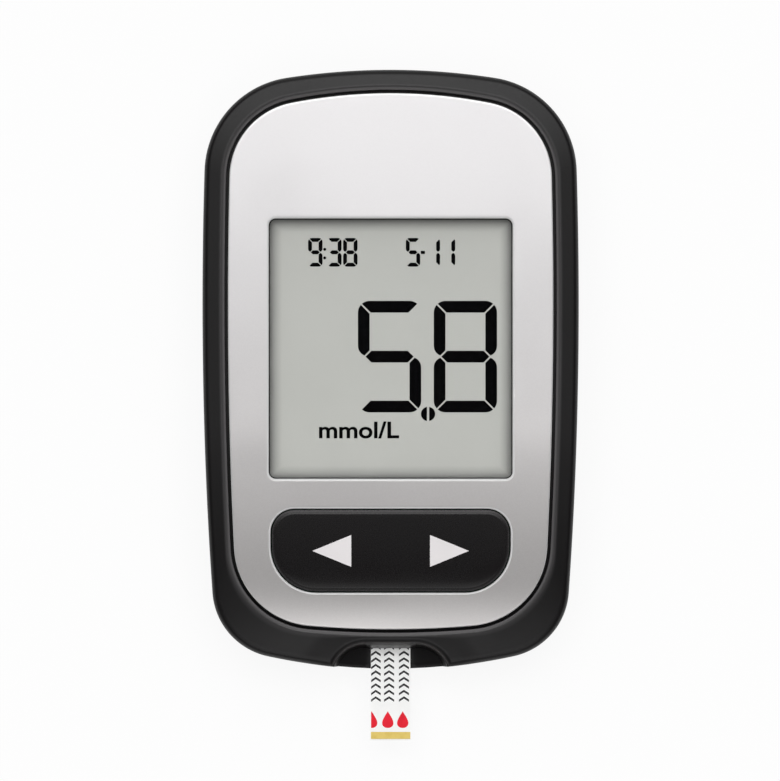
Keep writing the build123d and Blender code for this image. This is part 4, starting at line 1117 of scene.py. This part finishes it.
def digit_bars(x, y, width, height, stroke, gap, lit):
    """Lit bars of one digit with its lower left corner at (x, y). Bar letters run a to g, from
    the top clockwise, with the middle bar last. The digit's outer corners are arcs, which a
    mitre at 45 degrees cuts at the angle 135 - asin(e / r sqrt 2), with e the gap's offset."""
    e, middle, tip = gap / math.sqrt(2), height / 2, tip_share * stroke
    lean = math.asin(e / stroke / math.sqrt(2))
    bend = np.linspace(0, math.pi / 4 - lean, 7)

    def corner(turn):
        return np.column_stack([stroke + stroke * np.cos(turn), height - stroke + stroke * np.sin(turn)])

    left = corner(math.pi / 2 + bend)
    bar_a = np.concatenate([
        [(stroke + e, height - stroke), (width - stroke - e, height - stroke)], flipped(left, width=width), left,
    ])
    bar_f = np.concatenate([
        corner(3 * math.pi / 4 + lean + bend),
        bow((0, middle + bow_start * stroke), (0, middle + bow_pull * stroke), (tip, middle + e), 7),
        [(stroke, middle + stroke - tip + e), (stroke, height - stroke - e)],
    ])
    cut = stroke / 2 + tip
    bar_g = np.array([
        (tip + e, middle), (cut + e, middle - stroke / 2), (width - cut - e, middle - stroke / 2),
        (width - tip - e, middle), (width - cut - e, middle + stroke / 2), (cut + e, middle + stroke / 2),
    ])
    bars = {"a": bar_a, "d": flipped(bar_a, height=height), "g": bar_g, "f": bar_f, "e": flipped(bar_f, height=height)}
    bars["b"], bars["c"] = flipped(bar_f, width=width), flipped(bars["e"], width=width)
    return [bars[bar] + (x, y) for bar in lit]


print("an eight of height 4 has", len(digit_bars(0, 0, 2, 4, 0.5, 0.1, "abcdefg")), "bars")


# %% Display figures
def disc(x, y, radius, start, end, count):
    """Part of a disc from one turn to another, closed by a straight line."""
    turn = np.linspace(start, end, count)
    return np.column_stack([x + radius * np.cos(turn), y + radius * np.sin(turn)])


def split_dot(x, y, radius, split):
    """The two halves of a round point on either side of an upright split."""
    lean = math.asin(split / 2 / radius)
    starts = lean + math.pi / 2, lean - math.pi / 2
    return [disc(x, y, radius, start, start + math.pi - 2 * lean, 14) for start in starts]


digit_sets = {"1": "bc", "3": "abcdg", "5": "acdfg", "8": "abcdefg", "9": "abcdfg"}
large = {"y": -5.42, "width": 8.13, "height": 14.32, "stroke": 1.5, "gap": 0.19}
small = {"y": 13.3, "width": 1.85, "height": 3.68, "stroke": 0.5, "gap": 0.09}
reading = [("5", -4.2), ("8", 5.54)]
time_and_date = [("9", -10.6), ("3", -8.15), ("8", -6.1), ("5", 1.95), ("1", 4.5), ("1", 6.45)]
figures = []
for line, size in ((reading, large), (time_and_date, small)):
    for digit, x in line:
        figures += digit_bars(x, lit=digit_sets[digit], **size)
figures += split_dot(4.81, -5.62, radius=0.92, split=0.28)
colon = [disc(-8.47, y, 0.2, 0, 2 * math.pi * 11 / 12, 12) for y in (15.52, 14.42)]
dash = soft_corners([(3.86, 14.92), (4.42, 14.92), (4.42, 15.33), (3.86, 15.33)], 0.1)
figures += [*colon, dash]
figure_low, figure_thickness = display_top + 0.002, 0.012
segments = thin_prints("display_figures", figures, figure_low, figure_thickness)
dress(segments, "housing", finish["segment_black"])


# %% Display unit
def text_print(name, words, corner, size, weight):
    """Words as a thin closed mesh whose letters fill a box from its lowest corner.
    The text is made a mesh first, then its points are stretched onto the box."""
    curve = bpy.data.curves.new(name, "FONT")
    curve.body, curve.offset, curve.extrude = words, weight, 0.01
    curve.resolution_u = 6
    holder = in_scene(name, curve)
    mesh = bpy.data.meshes.new_from_object(holder.evaluated_get(bpy.context.evaluated_depsgraph_get()))
    bpy.data.objects.remove(holder)
    points = read(mesh.vertices, "co", width=3)
    share = (points - points.min(0)) / np.ptp(points, 0)
    mesh.vertices.foreach_set("co", ((share * size + corner) * MM).ravel())
    settle(mesh, 0.0005)
    return in_scene(name, mesh)


unit_corner, unit_size = (-9.2, -8.78, figure_low), (10.3, 2.2, figure_thickness)
unit = text_print("display_unit", "mmol/L", unit_corner, unit_size, weight=0.022)
dress(unit, "housing", finish["segment_black"])

# %% [markdown]
# The strip's cover carries three rows of small arrows that say which way it goes in, and three
# red drops at the end that takes the sample. The first row runs off the strip's edge, because
# strips are cut from one printed sheet.

# %% Strip print
strip_low, strip_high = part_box("test_strip_cover")
edge_margin, print_lift, print_thickness = 0.03, 0.001, 0.01
strip_edges = (strip_low.x / MM + edge_margin, strip_high.x / MM - edge_margin)
print_low = strip_high.z / MM + print_lift


def chevron(x, y, width, rise, stroke):
    """Arrow head that points to +Y, six corners anticlockwise."""
    lower = np.array([(x - width / 2, y), (x, y + rise), (x + width / 2, y)])
    return np.concatenate([lower, lower[::-1] + (0, stroke)])


def drop_shape(x, y, radius, height, count=26):
    """Drop: a circle whose upper half narrows to a tip. At the turn a from the tip, the
    half-width is 1.45 r sin(a) sin(a/2)^1.5 and the height runs with cos(a)."""
    turn = np.linspace(0, 2 * math.pi, count, endpoint=False)
    half = 1.45 * radius * np.sin(turn) * np.abs(np.sin(turn / 2)) ** 1.5
    return np.column_stack([x - half, y + height / 2 * np.cos(turn)])


def strip_print(name, shapes, material):
    """Thin prints on the strip's cover, held inside its two long edges."""
    held = [np.column_stack([np.clip(shape[:, 0], *strip_edges), shape[:, 1]]) for shape in shapes]
    dress(thin_prints(name, held, print_low, print_thickness), "test_strip", finish[material])


arrow_columns, arrow_top, arrow_pitch, arrows_each = (-1.93, -0.2, 1.72), -36.1, 0.84, 9
arrow = {"width": 1.3, "rise": 0.42, "stroke": 0.3}
levels = [arrow_top - arrow_pitch * step for step in range(arrows_each)]
strip_print("strip_arrows", [chevron(x, y, **arrow) for x in arrow_columns for y in levels], "print_black")
drop_columns, drop_y = (-2.45, -0.37, 1.56), -45.1
strip_print("strip_drops", [drop_shape(x, drop_y, radius=0.72, height=2.2) for x in drop_columns], "print_red")

# %% [markdown]
# The back shell, the battery door and the round cells keep the frame's own shapes. Each gets a
# merged copy of its mesh, so that light runs smoothly over its bevels.


# %% Merged copies
def calm_normals(mesh, flat_above):
    """Even shading where a flat runs into a rounding. The normal at a point is the sum of its
    faces' normals, each times its area, and a thousand times that for a face square to an axis,
    so a flat keeps its own. Points with a face that leans more than flat_above degrees from
    that sum are left as they are."""
    normals, at = read(mesh.polygons, "normal", width=3), read(mesh.loops, "vertex_index", np.int32)
    face = np.repeat(np.arange(len(normals)), read(mesh.polygons, "loop_total", np.int32))
    areas = read(mesh.polygons, "area") * np.where(np.abs(normals).max(1) > 0.99999, 1000.0, 1.0)
    total, lowest = np.zeros((len(mesh.vertices), 3)), np.ones(len(mesh.vertices))
    np.add.at(total, at, (normals * areas[:, None])[face])
    total /= np.maximum(np.linalg.norm(total, axis=1), 1e-20)[:, None]
    np.minimum.at(lowest, at, (total[at] * normals[face]).sum(1))
    calm = lowest > math.cos(math.radians(flat_above))
    mesh.normals_split_custom_set(np.where(calm[:, None], total, 0.0)[at].tolist())


def merged_copy(name, node, flat_above=32.0):
    """Copy of a node's triangles with its doubles merged, smooth up to an angle."""
    source = nodes[node].data
    triangles = read(source.loops, "vertex_index", np.int32).reshape(-1, 3)
    thing = skin(name, read(source.vertices, "co", width=3) / MM, triangles, flat_above)
    calm_normals(thing.data, flat_above)
    return thing


copies = [("back_case", "back_housing", "housing"), ("door_panel", "battery_door", "battery_door")]
for side in ("left", "right"):
    for piece in ("can", "gasket", "cap"):
        copies.append((f"cell_{piece}_{side}", f"coin_cell_{piece}_{side}", "housing"))
for name, node, body in copies:
    dress(merged_copy(name, node), body, finish[slot_of[node]], [node])

# %% [markdown]
# Each case screw is a turned head with a cross recess, over a plain shaft that ends in the
# front shell's boss. The recess is a height field on a polar grid: deep where a point lies in
# one of the two arms, with walls that lean a little.

# %% Case screws
screw_low, screw_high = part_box("case_screws")
head_radius, head_height, head_rounding, head_crown = 1.7, 1.1, 0.34, 0.02
shaft_radius, tip_taper = 0.85, 0.4
recess_reach, recess_depth = 1.35, 0.6
screw_foot_z, screw_tip_z = screw_low.z / MM, screw_high.z / MM
screw_places = [(x, y) for x in (screw_low.x / MM + head_radius, screw_high.x / MM - head_radius)
                for y in (screw_low.y / MM + head_radius, screw_high.y / MM - head_radius)]
around = np.linspace(0, 2 * math.pi, 72, endpoint=False)
spokes = np.stack([np.cos(around), np.sin(around)], 1)


def recess_arm(along, across):
    """Share of the recess's depth in one arm: 1 in its middle, eased to 0 past its walls."""
    return (1 - smooth_step(np.abs(across), 0.16, 0.24)) * (1 - smooth_step(np.abs(along), 0.78, 0.98))


def screw_rows():
    """Profile of a screw round its axis, from the middle of the recess over the head's rounded
    rim and along the shaft to its tip. The recess depth is the larger of two arms."""
    rows = []
    for reach in np.linspace(0, recess_reach, 28):
        x, y = (reach * spokes).T
        pit = recess_depth * np.maximum(recess_arm(x, y), recess_arm(y, x)) * (1 - 0.25 * reach)
        rows.append(raised(reach * spokes, screw_foot_z + head_crown * (reach / recess_reach) ** 2 + pit))
    for lean in np.radians(np.linspace(0, 90, 6)):
        height = screw_foot_z + head_rounding * (1 - math.cos(lean)) + head_crown * (1 - math.sin(lean))
        rows.append(raised((head_radius - head_rounding * (1 - math.sin(lean))) * spokes, height))
    shoulder = screw_foot_z + head_height
    ends = [(head_radius, shoulder), (shaft_radius, shoulder), (shaft_radius, screw_tip_z - tip_taper),
            (shaft_radius - tip_taper, screw_tip_z), (0.0, screw_tip_z)]
    return rows + [raised(reach * spokes, height) for reach, height in ends]


rows = screw_rows()
screw, faces = np.concatenate(rows), band_faces(len(rows), len(around))
screws = skin("screw_set", *together([(screw + (x, y, 0), faces) for x, y in screw_places]))
dress(screws, "housing", finish["screw_steel"], ["case_screws"])
